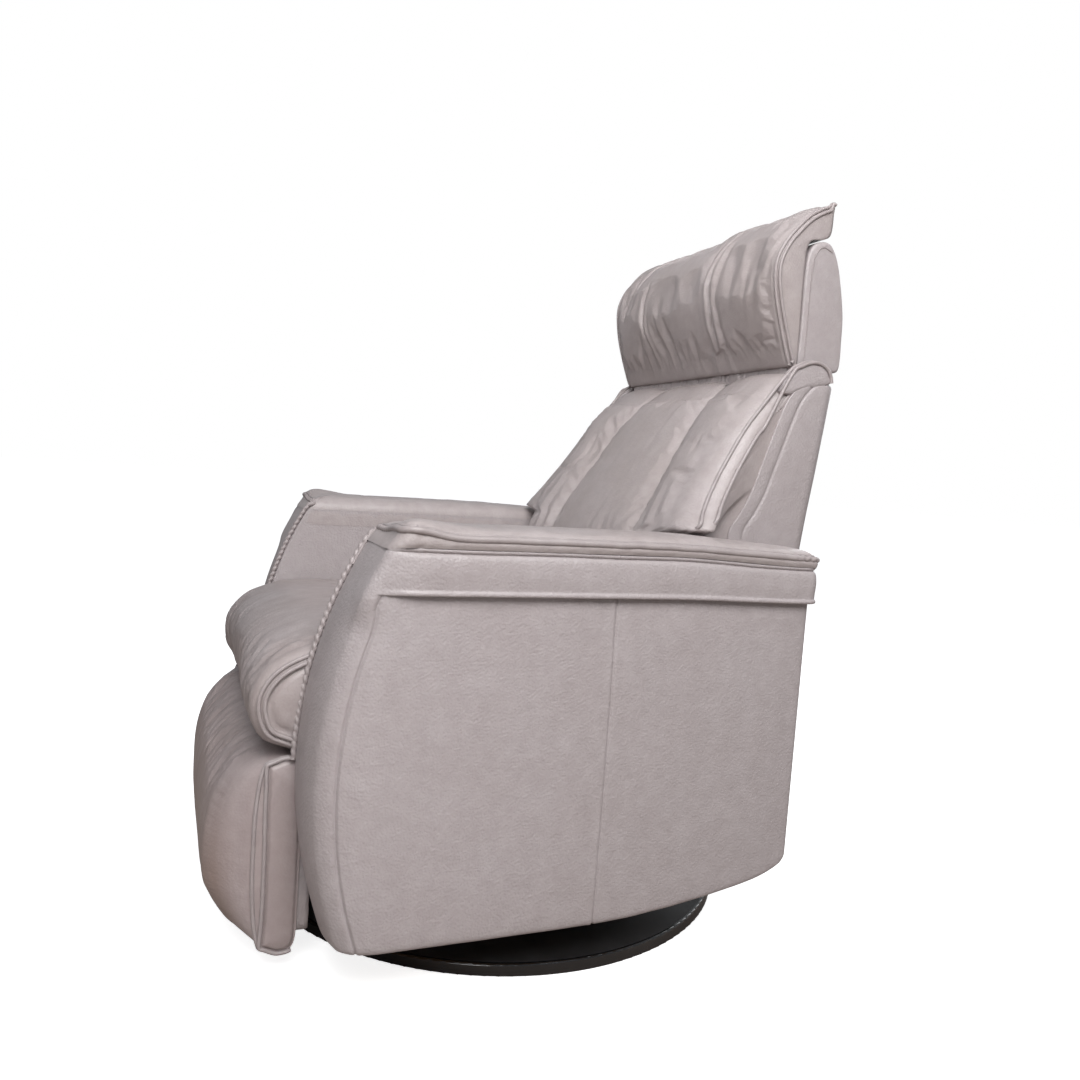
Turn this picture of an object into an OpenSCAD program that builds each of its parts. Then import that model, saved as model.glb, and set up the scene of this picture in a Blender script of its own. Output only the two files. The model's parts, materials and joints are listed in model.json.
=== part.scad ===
// Swivel glider power recliner.
// Origin on the floor at the swivel axis. +Z is up and the sitter faces -Y, so the sitter's left is +X.

/* [Overall] */
// Width over the two arm side panels
body_w = 840; // [800:5:880]
// Clear width between the arms
bay_w = 580; // [560:2:600]
// Height of the underside of the arms above the floor
floor_gap = 85; // [80:1:95]
// Height of the arm side panels
panel_top = 516; // [500:1:530]
// Height of the padded band round the top of an arm
band_h = 56; // [48:1:64]
// Height of the soft pad on an arm
pad_h = 20; // [14:1:28]
// How far the front of an arm reaches forward of the swivel axis
bow_reach = 372; // [360:1:390]
// Radius of the bowed front of an arm
bow_r = 575; // [550:5:620]
// Height at which the bowed front reaches furthest forward
bow_z = 280; // [265:1:300]
// How far the rear of an arm lies behind the swivel axis
arm_rear = 296; // [292:1:310]

/* [Base] */
// Radius of the floor disc
disc_r = 380; // [350:2:390]
// Thickness of the floor disc
disc_t = 18; // [14:1:22]
// Thickness of the edge band on the floor disc
edge_t = 5; // [3:0.5:8]
// Radius of the circle that the bearing balls run on
ball_circle_r = 148; // [140:1:156]
// Radius of a bearing ball
ball_r = 3.5; // [3:0.1:4]
// Number of bearing balls
ball_count = 24; // [16:1:30]

/* [Glide] */
// Distance of the hanging links' pivots from the swivel axis, along the seat
glide_y = 130; // [120:1:140]
// Height of the upper pivots of the hanging links
glide_top_z = 205; // [200:1:208]
// Length of a hanging link between its pivots
glide_link_l = 120; // [115:1:122]
// Radius of the glide bolts
glide_bolt_r = 6; // [5:0.5:7]

/* [Seat] */
// Length of the seat cushion from front to rear
seat_l = 550; // [530:2:560]
// Thickness of the seat cushion at its crown
seat_t = 160; // [140:1:170]
// Height of the underside of the steel seat tubes
tube_z = 262; // [260:1:266]
// Number of seat springs
spring_count = 5; // [4:1:6]
// Number of bends in a seat spring
spring_bends = 14; // [10:2:18]

/* [Back] */
// Height of the recline pivot
recline_z = 340; // [336:1:346]
// Distance of the recline pivot behind the swivel axis
recline_y = 215; // [212:1:220]
// Height of the top edge of the outside back
shell_top_z = 834; // [820:1:840]
// Distance of the outside back behind the swivel axis at its top edge
shell_top_y = 425; // [415:1:430]
// Thickness of the outside back
shell_t = 5; // [4:0.5:6]

/* [Headrest] */
// Height of the headrest's tilt pivot
tilt_z = 862; // [858:1:866]
// Distance of the tilt pivot behind the swivel axis
tilt_y = 372; // [368:1:376]
// Half the width of the headrest
head_half_w = 265; // [240:1:275]
// Height of the headrest above its tilt pivot
head_h = 250; // [230:1:260]

/* [Controls] */
// Number of control buttons is five, and this is the distance from one to the next
button_pitch = 19; // [17:0.5:22]
// Radius of a control button
button_r = 6.5; // [5:0.5:7.5]
// Travel of a control button
button_travel = 1.5; // [1:0.1:2]
// Radius of the pin hole in the power inlet
inlet_bore_r = 2.75; // [2:0.05:3.5]
// Depth of the pin hole in the power inlet
inlet_bore_l = 10; // [8:0.5:14]

/* [Hidden] */
$fn = 64;

// Clearances and overruns shared by all pieces
run_clear = 0.05;
link_play = 0.8;
seam_gap = 0.4;
soft_gap = 0.5;
slide_gap = 0.3;
cut = 2;

// Arm build-up
arm_in = bay_w / 2;
arm_out = body_w / 2;
arm_w = arm_out - arm_in;
outer_t = 20;
inner_t = 14;
strip_t = 25;
strip_round = 12;
frame_wall = 18;
rear_return_t = 10;
bow_y = bow_r - bow_reach;
bow_span_half = 30;
rise_y = -4;
rise_h = 62;
rise_mid_y = 243;
rise_mid_h = 34;
band_over = 7;
band_round = 10;
band_corner_r = 22;
band_top = panel_top + band_h;
band_front = 329;
pad_front = 298;
pad_over = 4;

// Floor disc and bearing
edge_round = 2.5;
floor_pad_r = 16;
floor_pad_h = 3;
floor_pad_count = 6;
floor_pad_circle_share = 0.86;
race_half_w = 20;
race_t = 6.5;
race_gap = 0.5;
ball_gap = 0.1;
ball_z = disc_t + race_t + race_gap / 2;
race_low_z = disc_t + race_t + race_gap;
race_top_z = race_low_z + race_t;

// Swivel frame
centre_plate_r = 172;
centre_hole_r = 45;
centre_plate_t = 5;
channel_z = race_top_z + centre_plate_t;
channel_h = 26;
channel_w = 26;
channel_t = 3;
channel_half_l = 176;
cross_y = 84;
side_plate_x = 222;
side_plate_t = 6;
side_plate_foot = 186;
side_plate_top = 152;
side_plate_rise = 12;
lightening_r = 36;
lightening_z = 132;
frame_bolt_r = 4;
frame_bolt_circle_r = ball_circle_r + 12;
frame_bolt_head_r = 7;
frame_bolt_head_h = 5;

// Hanging links
glide_low_z = glide_top_z - glide_link_l;
glide_link_x = 232;
glide_link_t = 6;
glide_link_r = 13;
glide_head_r = 10;
glide_head_t = 2.6;
glide_nut_t = 5;
glide_bolt_end = glide_link_x + glide_link_t + slide_gap + glide_head_t;

// Chair side structure
rail_x = 244;
rail_t = 6;
rail_front = -262;
rail_rear = 190;
rail_foot = 150;
rail_low_r = 12;
rail_shoulder_z = 216;
plate_t = 6;
plate_x = arm_in - plate_t;
plate_rear = 180;
hinge_ear_r = 26;
tube_w = 25;
tube_wall = 2;
front_tube_y = -240;
rear_tube_y = 150;
spring_t = 3;
spring_w = 4;
spring_amp = 22;
spring_steps = 6;
spring_margin = 8;
spring_span_share = 0.72;
motor_rail_w = 30;
motor_rail_t = 6;
motor_rail_z = tube_z + 2;
cushion_low_z = tube_z + tube_w + spring_t + soft_gap;
cushion_rear_y = 118;
side_gap = 1;
seat_crown = 10;
seat_pull = 16;

// Footrest linkage with the footrest closed, as [y, z]
crank_pivot = [-158, 241];
rocker_pivot = [-202, 240];
crank_pin = [-95, 112];
drive_pin = [-60, 129];
rocker_pin = [-140, 112];
board_pin = [-333, 233];
board_drive_pin = [-288, 249];
link_t = 4;
link_gap = 3;
link_r = 10;
pin_r = 5;
shaft_r = 9;
shaft_end_gap = 0.5;
drive_x = rail_x + rail_t + link_gap;
crank_x = drive_x + link_t + link_gap;
carrier_x = crank_x + link_t + link_gap;
rocker_x = carrier_x + link_t + link_gap;
pin_head_t = 1.2;
pin_head_r = 7.5;

// Footrest board and pad
board_front_y = -357;
board_t = 12;
board_low_z = 58;
board_top_z = 262;
board_half_w = 272;
board_round = 20;
bracket_flange_w = 22;
bracket_flange_t = 3;
bracket_flange_low_z = 196;
bracket_flange_top_z = 256;
rest_pad_half_w = 284;
rest_pad_l = 255;
rest_pad_t = 113;
rest_pad_low_z = 29;
rest_pad_gap = 1.3;
rest_pad_crown = 6;
rest_pad_pull = 24;

// Drives under the seat
crank_lever_r = 48;
crank_lever_t = 10;
crank_lever_w = 12;
crank_travel_deg = 90;
rest_rod_z = 200;
drive_rod_r = 8;
drive_tube_r = 15;
rest_tube_front_y = -88;
rest_tube_l = 208;
rest_rod_l = 118;
fork_cheek_t = 5;
fork_wall = 6;
fork_play = 2;
fork_l = 27;
fork_bridge_t = 8;
fork_bridge_h = 20;
gearbox_l = 66;
rest_gearbox_y = rest_tube_front_y + rest_tube_l;
gearbox_w = 56;
gearbox_h = 44;
gearbox_round = 6;
motor_can_r = 17;
motor_can_l = 70;
back_lever_r = 100;
back_lever_w = 11;
back_travel_deg = 32;
back_drive_x = 95;
back_rod_z = 242;
back_pin_r = 6;
back_fork_play = 0.5;
back_tube_rear_y = 146;
back_tube_l = 206;
back_rod_l = 108;

// Back build-up
shell_half_w = 283;
shell_low_z = 330;
shell_low_y = 357;
shell_rear_round = 26;
shell_seam_y = 298;
shell_seam_z = 583;
shell_top_front_y = 388;
shell_side_low_y = 262;
shell_side_low_z = 430;
shell_side_foot_y = 310;
post_half_x = 260;
post_w = 24;
post_d = 24;
post_low = [262, 360];
post_top = [391, 822];
back_rail_t = 8;
back_rail_shares = [[0.02, 0.1], [0.42, 0.5], [0.66, 0.74], [0.9, 0.98]];
back_rail_mid_share = (back_rail_shares[0][0] + back_rail_shares[0][1]) / 2;
hinge_plate_t = 5;
hinge_plate_x = post_half_x + post_w / 2;
hinge_pin_r = 8;
hinge_head_r = hinge_pin_r + pin_head_t;
hinge_plate_r = 20;
hinge_plate_mid = [278, 402];
hinge_plate_end = [288, 450];
hinge_plate_end_r = 12;
recline_p = [recline_y, recline_z];
crank_lever_pin = polar(crank_pivot, crank_lever_r, crank_travel_deg / 2);
back_lever_pin = polar(recline_p, back_lever_r, back_travel_deg / 2);
post_dir = (post_top - post_low) / norm(post_top - post_low);
back_half_w = 283;
back_front_y = 128;
back_depth = 250;
back_low_z = 385;
back_h = 456;
back_crown = 6;
back_pull = 32;
back_channel_x = 100;
back_channel_w = 14;
back_channel_depth = 8;

// Headrest build-up
tilt_p = [tilt_y, tilt_z];
tilt_deg = 15;
tilt_shaft_r = 6;
tilt_shaft_half_l = 110;
head_bracket_x = 80;
head_bracket_t = 5;
head_bracket_r = 10;
head_bracket_foot = [377, 806];
head_arm_x = 92;
head_arm_t = 5;
head_arm_r = 8;
head_arm_mid = [384, 905];
head_arm_top = [389, 1000];
head_plate_low = [386, 930];
head_plate_r = 3;
head_lever_l = 20;
head_lever_r = 7;
head_lever_t = 6;
head_pin_r = 3;
head_lever_pin = [tilt_y + head_lever_l * cos(tilt_deg / 2), tilt_z - head_lever_l * sin(tilt_deg / 2)];
head_rod_y = head_lever_pin[0];
head_rod_r = 5;
head_fork_t = 3;
head_fork_wall = 3;
head_fork_l = 12;
head_fork_half_w = head_lever_t / 2 + slide_gap + head_fork_t;
head_tube_r = 9;
head_tube_l = 70;
head_tube_floor = 4;
head_tube_top_z = 790;
head_rod_l = 100;
head_motor_w = 44;
head_motor_h = 56;
head_motor_z = head_tube_top_z - head_tube_l - head_motor_h;
head_motor_d = 38;
head_motor_y = 358;
head_foot_y = 342;
head_foot_h = 30;
head_shell_t = 6;
head_shell_y = 358.5;
head_shell_depth = 82;
head_shell_z = 852;
head_shell_h = 196;
head_mouth_y = 404;
head_mouth_z = 888;
pillow_y = 300;
pillow_depth = 100;
pillow_z = 856;
pillow_crown = 6;
pillow_pull = 2;
gusset_half_w = 255;
gusset_y = 399.5;
gusset_depth = 25;
gusset_z = shell_top_z + 2 * soft_gap;
gusset_h = head_shell_z - gusset_z - 2 * soft_gap;

// Controls
bezel_y = -102;
bezel_z = 487;
bezel_l = 112;
bezel_h = 26;
bezel_round = 8;
bezel_t = 5;
bezel_proud = 2.5;
button_proud = button_travel + 0.5;
button_flange_r = 8;
button_flange_t = 1.5;
button_gap = 0.15;
pocket_r = 8.5;
pocket_depth = 8;
inlet_x = 200;
inlet_z = 180;
inlet_w = 30;
inlet_h = 22;
inlet_l = 26;
inlet_flange = 4;
inlet_proud = 2;
rear_panel_low_z = 130;
rear_panel_top_z = 236;
rear_panel_t = 12;
control_box_x = -150;
control_box_w = 90;
control_box_l = 55;
control_box_h = 34;

// How finely the soft skins are divided, and the side of each cushion that is crowned
skin_steps = 2;
skin_rows = 11;
back_rows = 15;
head_shell_steps = 3;
pad_rows = 18;
pad_step_deg = 15;
pad_side_power = 0.5;
pad_top_power = 0.6;
seat_face = [-0.5, 0.86];
rest_pad_face = [-1, 0];
back_face = [-0.8, 0.6];
pillow_face = [-1, 0.2];

// Outlines of the soft pieces as shares of length and thickness, chosen by eye along each piece
seat_shares = [[1, 0.24], [1, 0.8], [0.958, 0.985], [0.785, 1], [0.513, 0.985], [0.258, 0.965],
    [0.149, 0.925], [0.051, 0.76], [0.004, 0.5], [0.015, 0.21], [0.065, 0.045], [0.158, 0], [0.4, 0],
    [0.65, 0], [0.895, 0], [0.982, 0.05]];
rest_pad_shares = [[0, 0.94], [0.12, 0.995], [0.42, 0.985], [0.73, 0.9], [0.93, 0.72], [1, 0.51],
    [0.96, 0.3], [0.76, 0.13], [0.47, 0.03], [0.19, 0], [0.02, 0.045], [0, 0.28], [0, 0.6]];
back_shares = [[0.43, 0.02], [0.6, 0.28], [0.72, 0.52], [0.83, 0.76], [0.92, 0.975], [0.86, 1],
    [0.72, 0.945], [0.55, 0.84], [0.39, 0.705], [0.23, 0.565], [0.1, 0.434], [0.03, 0.31], [0, 0.19],
    [0.02, 0.09], [0.1, 0.02], [0.25, 0]];
pillow_shares = [[0.5, 0.01], [0.56, 0.06], [0.56, 0.3], [0.56, 0.6], [0.63, 0.77], [0.84, 0.885],
    [1, 0.965], [0.97, 1], [0.6, 0.93], [0.3, 0.82], [0.12, 0.72], [0.01, 0.59], [0.05, 0.42],
    [0.16, 0.24], [0.31, 0.08], [0.4, 0.02]];
head_shell_shares = [[0.46, 0], [0.86, 0], [0.99, 0.05], [1, 0.25], [0.96, 0.49], [0.78, 0.82],
    [0.56, 0.985], [0.3, 1], [0.1, 0.94], [0, 0.8], [0, 0.4], [0, 0.04], [0.1, 0.01]];
gusset_shares = [[0, 0.1], [0.3, 0.02], [0.8, 0.02], [1, 0.3], [0.9, 0.5], [1, 0.75], [0.8, 0.98],
    [0.3, 0.98], [0, 0.9], [0.08, 0.5]];
arm_pad_shares = [[0, 0.12], [0.03, 0.6], [0.1, 0.92], [0.3, 1], [0.55, 0.9], [0.8, 0.78], [0.95, 0.6],
    [1, 0.12]];

// Curve helpers
function catmull(a, b, c, d, t) = 0.5 * (2 * b + (c - a) * t + (2 * a - 5 * b + 4 * c - d) * t * t
    + (3 * b - a - 3 * c + d) * t * t * t);
function closed_curve(pts, steps) = [for (i = [0:len(pts) - 1]) for (k = [0:steps - 1])
    let (n = len(pts))
    catmull(pts[(i + n - 1) % n], pts[i], pts[(i + 1) % n], pts[(i + 2) % n], k / steps)];
function side_of(v) = [v[1], -v[0]] / norm(v);
function outward(pts, i) = side_of(pts[(i + 1) % len(pts)] - pts[(i + len(pts) - 1) % len(pts)]);
function edge_pull(q) = 1 - sqrt(max(0, 1 - pow(q, 6)));
function polar(p, r, a) = [p[0] + r * sin(a), p[1] - r * cos(a)];
function centre_of(pts) = [for (k = [0:2]) let (s = [for (p = pts) p[k]]) total(s) / len(s)];
function total(v, i = 0) = i >= len(v) ? 0 : v[i] + total(v, i + 1);

// Skin over a row of closed rings, each given counter-clockwise as seen from the last ring's side
module loft(rings) {
    n = len(rings[0]);
    m = len(rings);
    skin = [for (r = rings) for (p = r) p];
    caps = [centre_of(rings[0]), centre_of(rings[m - 1])];
    walls = [for (i = [0:m - 2]) for (j = [0:n - 1]) for (h = [0:1]) let (
        a = i * n + j,
        b = i * n + (j + 1) % n,
        c = b + n,
        d = a + n) h == 0 ? [a, d, c] : [a, c, b]];
    first = [for (j = [0:n - 1]) [m * n, j, (j + 1) % n]];
    last = [for (j = [0:n - 1]) [m * n + 1, (m - 1) * n + (j + 1) % n, (m - 1) * n + j]];
    polyhedron(points = concat(skin, caps), faces = concat(walls, first, last), convexity = 6);
}

// A cushion made of side outlines across its width, crowned towards face and drawn in at both ends.
// channel_x and channel_depth sew one channel on each side of the middle.
module cushion(outline, half_w, crown, pull, face, rows, channel_x = 0, channel_depth = 0, channel_w = 1) {
    loft([for (s = [-rows:rows]) let (
        share = sin(90 * s / rows),
        x = half_w * share,
        q = abs(share),
        groove = channel_depth * exp(-pow((abs(x) - channel_x) / channel_w, 2)),
        lift = crown * (1 - q * q) - groove)
        [for (i = [0:len(outline) - 1]) let (
            n = outward(outline, i),
            w = max(0, n * face),
            d = lift * w - pull * edge_pull(q))
            [x, outline[i][0] + n[0] * d, outline[i][1] + n[1] * d]]]);
}

// Extrudes a [y, z] outline along X
module along_x(x, l) {
    translate([x, 0, 0])
        rotate([90, 0, 90])
            linear_extrude(l)
                children();
}

module rod_x(a, b, p, r) {
    translate([a, p[0], p[1]])
        rotate([0, 90, 0])
            cylinder(h = b - a, r = r);
}

module rod_y(y, l, x, z, r) {
    translate([x, y + l, z])
        rotate([90, 0, 0])
            cylinder(h = l, r = r);
}

module block(low, high) {
    translate(low)
        cube(high - low);
}

// Draws its children on the sitter's left, then mirrored on the right
module both_sides() {
    children();
    mirror([1, 0, 0])
        children();
}

module right_side() {
    mirror([1, 0, 0])
        children();
}

// A straight bar with round ends between two points
module bar(a, b, r) {
    across = r * side_of(b - a);
    translate(a)
        circle(r);
    translate(b)
        circle(r);
    polygon([a + across, b + across, b - across, a - across]);
}

module spot(p, r) {
    translate(p)
        circle(r);
}

module rounded_rect(low, high, r) {
    translate([low[0] + r, low[1]])
        square([high[0] - low[0] - 2 * r, high[1] - low[1]]);
    translate([low[0], low[1] + r])
        square([high[0] - low[0], high[1] - low[1] - 2 * r]);
    for (x = [low[0] + r, high[0] - r]) {
        for (z = [low[1] + r, high[1] - r]) {
            spot([x, z], r);
        }
    }
}

// Base disc, edge band and pads
module base_disc() {
    color("#2b2b2d")
        difference() {
            cylinder(h = disc_t, r = disc_r - edge_t, $fn = 128);
            floor_pad_places()
                translate([0, 0, -cut])
                    cylinder(h = floor_pad_h + cut, r = floor_pad_r + run_clear);
        }
}

module floor_pad_places() {
    for (i = [0:floor_pad_count - 1]) {
        rotate([0, 0, 360 * (i + 0.5) / floor_pad_count])
            translate([disc_r * floor_pad_circle_share, 0, 0])
                children();
    }
}

module base_edge_band() {
    color("#151516")
        rotate_extrude($fn = 128)
            union() {
                translate([disc_r - edge_t, 0])
                    square([edge_t - edge_round, disc_t]);
                translate([disc_r - edge_t, edge_round])
                    square([edge_t, disc_t - 2 * edge_round]);
                spot([disc_r - edge_round, edge_round], edge_round);
                spot([disc_r - edge_round, disc_t - edge_round], edge_round);
            }
}

module floor_pads() {
    color("#3a3a3a")
        floor_pad_places()
            cylinder(h = floor_pad_h, r = floor_pad_r);
}

// Turntable bearing
module race(z) {
    rotate_extrude($fn = 96)
        difference() {
            translate([ball_circle_r - race_half_w, z])
                square([2 * race_half_w, race_t]);
            spot([ball_circle_r, ball_z], ball_r + ball_gap);
        }
}

module frame_bolt_places() {
    for (a = [0:90:270]) {
        rotate([0, 0, a])
            translate([frame_bolt_circle_r, 0, 0])
                children();
    }
}

module bearing_lower_race() {
    color("#9a9da1")
        race(disc_t);
}

module bearing_upper_race() {
    color("#a9acb0")
        difference() {
            race(race_low_z);
            frame_bolt_places()
                translate([0, 0, race_low_z - cut])
                    cylinder(h = race_t + 2 * cut, r = frame_bolt_r + run_clear);
        }
}

module bearing_balls() {
    color("#d0d2d5")
        for (i = [0:ball_count - 1]) {
            rotate([0, 0, 360 * (i + 0.5) / ball_count])
                translate([ball_circle_r, 0, ball_z])
                    sphere(r = ball_r, $fn = 24);
        }
}

// Swivel frame: centre plate and channels welded together
module channel(l) {
    linear_extrude(l)
        difference() {
            square([channel_w, channel_h]);
            translate([channel_t, channel_t])
                square([channel_w - 2 * channel_t, channel_h]);
        }
}

module swivel_frame() {
    color("#1f2022") {
        difference() {
            translate([0, 0, race_top_z])
                cylinder(h = centre_plate_t, r = centre_plate_r, $fn = 96);
            translate([0, 0, race_top_z - cut])
                cylinder(h = centre_plate_t + 2 * cut, r = centre_hole_r);
            frame_bolt_places()
                translate([0, 0, race_top_z - cut])
                    cylinder(h = centre_plate_t + 2 * cut, r = frame_bolt_r + run_clear);
        }
        both_sides()
            translate([side_plate_x - channel_w, channel_half_l, channel_z])
                rotate([90, 0, 0])
                    channel(2 * channel_half_l);
        for (y = [-cross_y - channel_w / 2, cross_y - channel_w / 2]) {
            translate([-(side_plate_x - channel_w), y, channel_z])
                rotate([90, 0, 90])
                    channel(2 * (side_plate_x - channel_w));
        }
    }
}

module base_side_plate() {
    color("#1f2022")
        along_x(side_plate_x, side_plate_t)
            difference() {
                polygon([[-side_plate_foot, channel_z], [side_plate_foot, channel_z],
                    [side_plate_foot, channel_z + channel_h], [side_plate_top, glide_top_z + side_plate_rise],
                    [-side_plate_top, glide_top_z + side_plate_rise],
                    [-side_plate_foot, channel_z + channel_h]]);
                for (s = [-1, 1]) {
                    spot([s * glide_y, glide_top_z], glide_bolt_r + run_clear);
                    spot([s * glide_y / 2, lightening_z], lightening_r);
                }
            }
}

module base_side_plate_left() {
    base_side_plate();
}

module base_side_plate_right() {
    right_side()
        base_side_plate();
}

module frame_bolts() {
    color("#8b8e92") {
        frame_bolt_places() {
            translate([0, 0, race_low_z + slide_gap])
                cylinder(h = race_t + centre_plate_t, r = frame_bolt_r);
            translate([0, 0, channel_z])
                cylinder(h = frame_bolt_head_h, r = frame_bolt_head_r);
        }
        both_sides()
            for (s = [-1, 1]) {
                p = [s * glide_y, glide_top_z];
                rod_x(side_plate_x - glide_nut_t, side_plate_x, p, glide_head_r);
                rod_x(side_plate_x - glide_nut_t, glide_bolt_end, p, glide_bolt_r);
                rod_x(side_plate_x + side_plate_t, glide_link_x - slide_gap, p, glide_head_r);
                rod_x(glide_bolt_end - glide_head_t, glide_bolt_end, p, glide_head_r);
            }
    }
}

// Hanging links of the glide
module glide_links(y) {
    color("#3b3d40")
        both_sides()
            along_x(glide_link_x, glide_link_t)
                difference() {
                    bar([y, glide_top_z], [y, glide_low_z], glide_link_r);
                    spot([y, glide_top_z], glide_bolt_r + run_clear);
                    spot([y, glide_low_z], glide_bolt_r + run_clear);
                }
}

module front_glide_links() {
    glide_links(-glide_y);
}

module rear_glide_links() {
    glide_links(glide_y);
}

// Chair side rail with the lower studs of the hanging links
module glide_rail() {
    color("#2a2b2e") {
        along_x(rail_x, rail_t)
            difference() {
                polygon([[rail_front, tube_z], [rail_front, rail_shoulder_z],
                    [-rail_foot, glide_low_z - rail_low_r], [rail_foot, glide_low_z - rail_low_r],
                    [rail_rear, rail_shoulder_z], [rail_rear, tube_z]]);
                spot(crank_pivot, shaft_r + run_clear);
                for (s = [-1, 1]) {
                    spot([s * glide_y / 2, lightening_z + lightening_r / 2], lightening_r);
                }
            }
        for (s = [-1, 1]) {
            p = [s * glide_y, glide_low_z];
            rod_x(glide_link_x - slide_gap - glide_head_t, glide_link_x - slide_gap, p, glide_head_r);
            rod_x(glide_link_x - slide_gap, rail_x, p, glide_bolt_r);
            rod_x(glide_link_x + glide_link_t + slide_gap, rail_x, p, glide_head_r);
        }
    }
}

module glide_rail_left() {
    glide_rail();
}

module glide_rail_right() {
    right_side()
        glide_rail();
}

// Mechanism plate bolted to an arm, with the rocker stud and the recline pin
module mechanism_plate() {
    color("#2a2b2e") {
        along_x(plate_x, plate_t)
            difference() {
                union() {
                    polygon([[rail_front, cushion_low_z - side_gap], [rail_front, rail_shoulder_z],
                        [plate_rear, rail_shoulder_z], [recline_y + hinge_ear_r, recline_z],
                        [recline_y - hinge_ear_r, recline_z],
                        [plate_rear - hinge_ear_r, cushion_low_z - side_gap]]);
                    spot(recline_p, hinge_ear_r);
                }
                spot(crank_pivot, shaft_r + run_clear);
            }
        rod_x(rocker_x + link_t + slide_gap, plate_x, rocker_pivot, pin_head_r);
        rod_x(rocker_x - slide_gap - pin_head_t, plate_x, rocker_pivot, pin_r);
        rod_x(rocker_x - slide_gap - pin_head_t, rocker_x - slide_gap, rocker_pivot, pin_head_r);
        rod_x(hinge_plate_x - slide_gap - pin_head_t, plate_x, recline_p, hinge_pin_r);
        rod_x(hinge_plate_x - slide_gap - pin_head_t, hinge_plate_x - slide_gap, recline_p, hinge_head_r);
        rod_x(hinge_plate_x + hinge_plate_t + slide_gap, plate_x, recline_p, hinge_head_r);
    }
}

module mechanism_plate_left() {
    mechanism_plate();
}

module mechanism_plate_right() {
    right_side()
        mechanism_plate();
}

// Seat frame: two cross tubes, and rails and a hanger for the drives
module cross_tube(y) {
    difference() {
        block([-plate_x, y, tube_z], [plate_x, y + tube_w, tube_z + tube_w]);
        block([-plate_x - cut, y + tube_wall, tube_z + tube_wall],
            [plate_x + cut, y + tube_w - tube_wall, tube_z + tube_w - tube_wall]);
    }
}

module seat_frame() {
    color("#2a2b2e") {
        cross_tube(front_tube_y);
        cross_tube(rear_tube_y);
        for (x = [0, back_drive_x]) {
            block([x - motor_rail_w / 2, front_tube_y + tube_w, motor_rail_z],
                [x + motor_rail_w / 2, rear_tube_y, motor_rail_z + motor_rail_t]);
        }
        block([-motor_rail_w / 2, rest_gearbox_y, rest_rod_z + gearbox_h / 2],
            [motor_rail_w / 2, rear_tube_y, motor_rail_z]);
    }
}

// Sinuous seat springs lying across the two tubes
function spring_line(x) = [for (i = [0:spring_bends * spring_steps])
    let (t = i / (spring_bends * spring_steps))
    [x + spring_amp * sin(180 * spring_bends * t), front_tube_y + spring_margin
        + (rear_tube_y + tube_w - front_tube_y - 2 * spring_margin) * t]];
function open_side(v, i) = side_of(v[min(i + 1, len(v) - 1)] - v[max(i - 1, 0)]);
function ribbon(v, w) = concat([for (i = [0:len(v) - 1]) v[i] + w / 2 * open_side(v, i)],
    [for (i = [len(v) - 1:-1:0]) v[i] - w / 2 * open_side(v, i)]);

module seat_springs() {
    span = 2 * arm_in * spring_span_share;
    color("#77797c")
        for (i = [0:spring_count - 1]) {
            translate([0, 0, tube_z + tube_w])
                linear_extrude(spring_t)
                    polygon(ribbon(spring_line(span * (i / (spring_count - 1) - 0.5)), spring_w));
        }
}

function placed(shares, y, z, l, h) = [for (s = shares) [y + s[0] * l, z + s[1] * h]];

module seat_cushion() {
    outline = placed(seat_shares, cushion_rear_y - seat_l, cushion_low_z, seat_l, seat_t - seat_crown);
    color("#a39a95")
        cushion(closed_curve(outline, skin_steps), arm_in - side_gap, seat_crown, seat_pull, seat_face,
            skin_rows);
}

// Arm pieces. The side outline is bowed at the front and rises under the rear.
module arm_side(inset, rear, low, top) {
    rise_rear_h = (rise_h - rise_mid_h) / (arm_rear - rise_mid_y);
    intersection() {
        translate([bow_y, bow_z])
            circle(r = bow_r - inset, $fn = 180);
        polygon([[-bow_reach - cut, low], [rise_y, low], [rise_mid_y, low + rise_mid_h],
            [rear, low + rise_mid_h + rise_rear_h * (rear - rise_mid_y)], [rear, top],
            [-bow_reach - cut, top]]);
    }
}

module arm_outer_panel() {
    color("#9e9692") {
        along_x(arm_out - outer_t, outer_t)
            arm_side(strip_t + seam_gap, arm_rear, floor_gap, panel_top);
        block([arm_in, arm_rear - rear_return_t, floor_gap + rise_h], [arm_out - outer_t, arm_rear, panel_top]);
    }
}

module arm_outer_panel_left() {
    arm_outer_panel();
}

module arm_outer_panel_right() {
    right_side()
        arm_outer_panel();
}

module arm_inner_panel() {
    along_x(arm_in, inner_t)
        arm_side(strip_t + seam_gap, arm_rear - rear_return_t, floor_gap, panel_top);
}

module arm_inner_panel_left() {
    color("#9e9692")
        arm_inner_panel();
}

module arm_inner_panel_right() {
    color("#9e9692")
        right_side()
            difference() {
                arm_inner_panel();
                bezel_shape(0, run_clear, bezel_t);
                button_places()
                    cylinder(h = pocket_depth, r = pocket_r);
            }
}

module arm_frames() {
    color("#c9a877")
        both_sides()
            along_x(arm_in + inner_t, arm_w - inner_t - outer_t)
                difference() {
                    arm_side(strip_t + seam_gap, arm_rear - rear_return_t, floor_gap, panel_top);
                    difference() {
                        arm_side(strip_t + seam_gap + frame_wall, arm_rear - rear_return_t - frame_wall,
                            floor_gap + frame_wall, panel_top - frame_wall);
                        translate([rise_y - frame_wall / 2, floor_gap])
                            square([frame_wall, panel_top - floor_gap]);
                    }
                }
}

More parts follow.
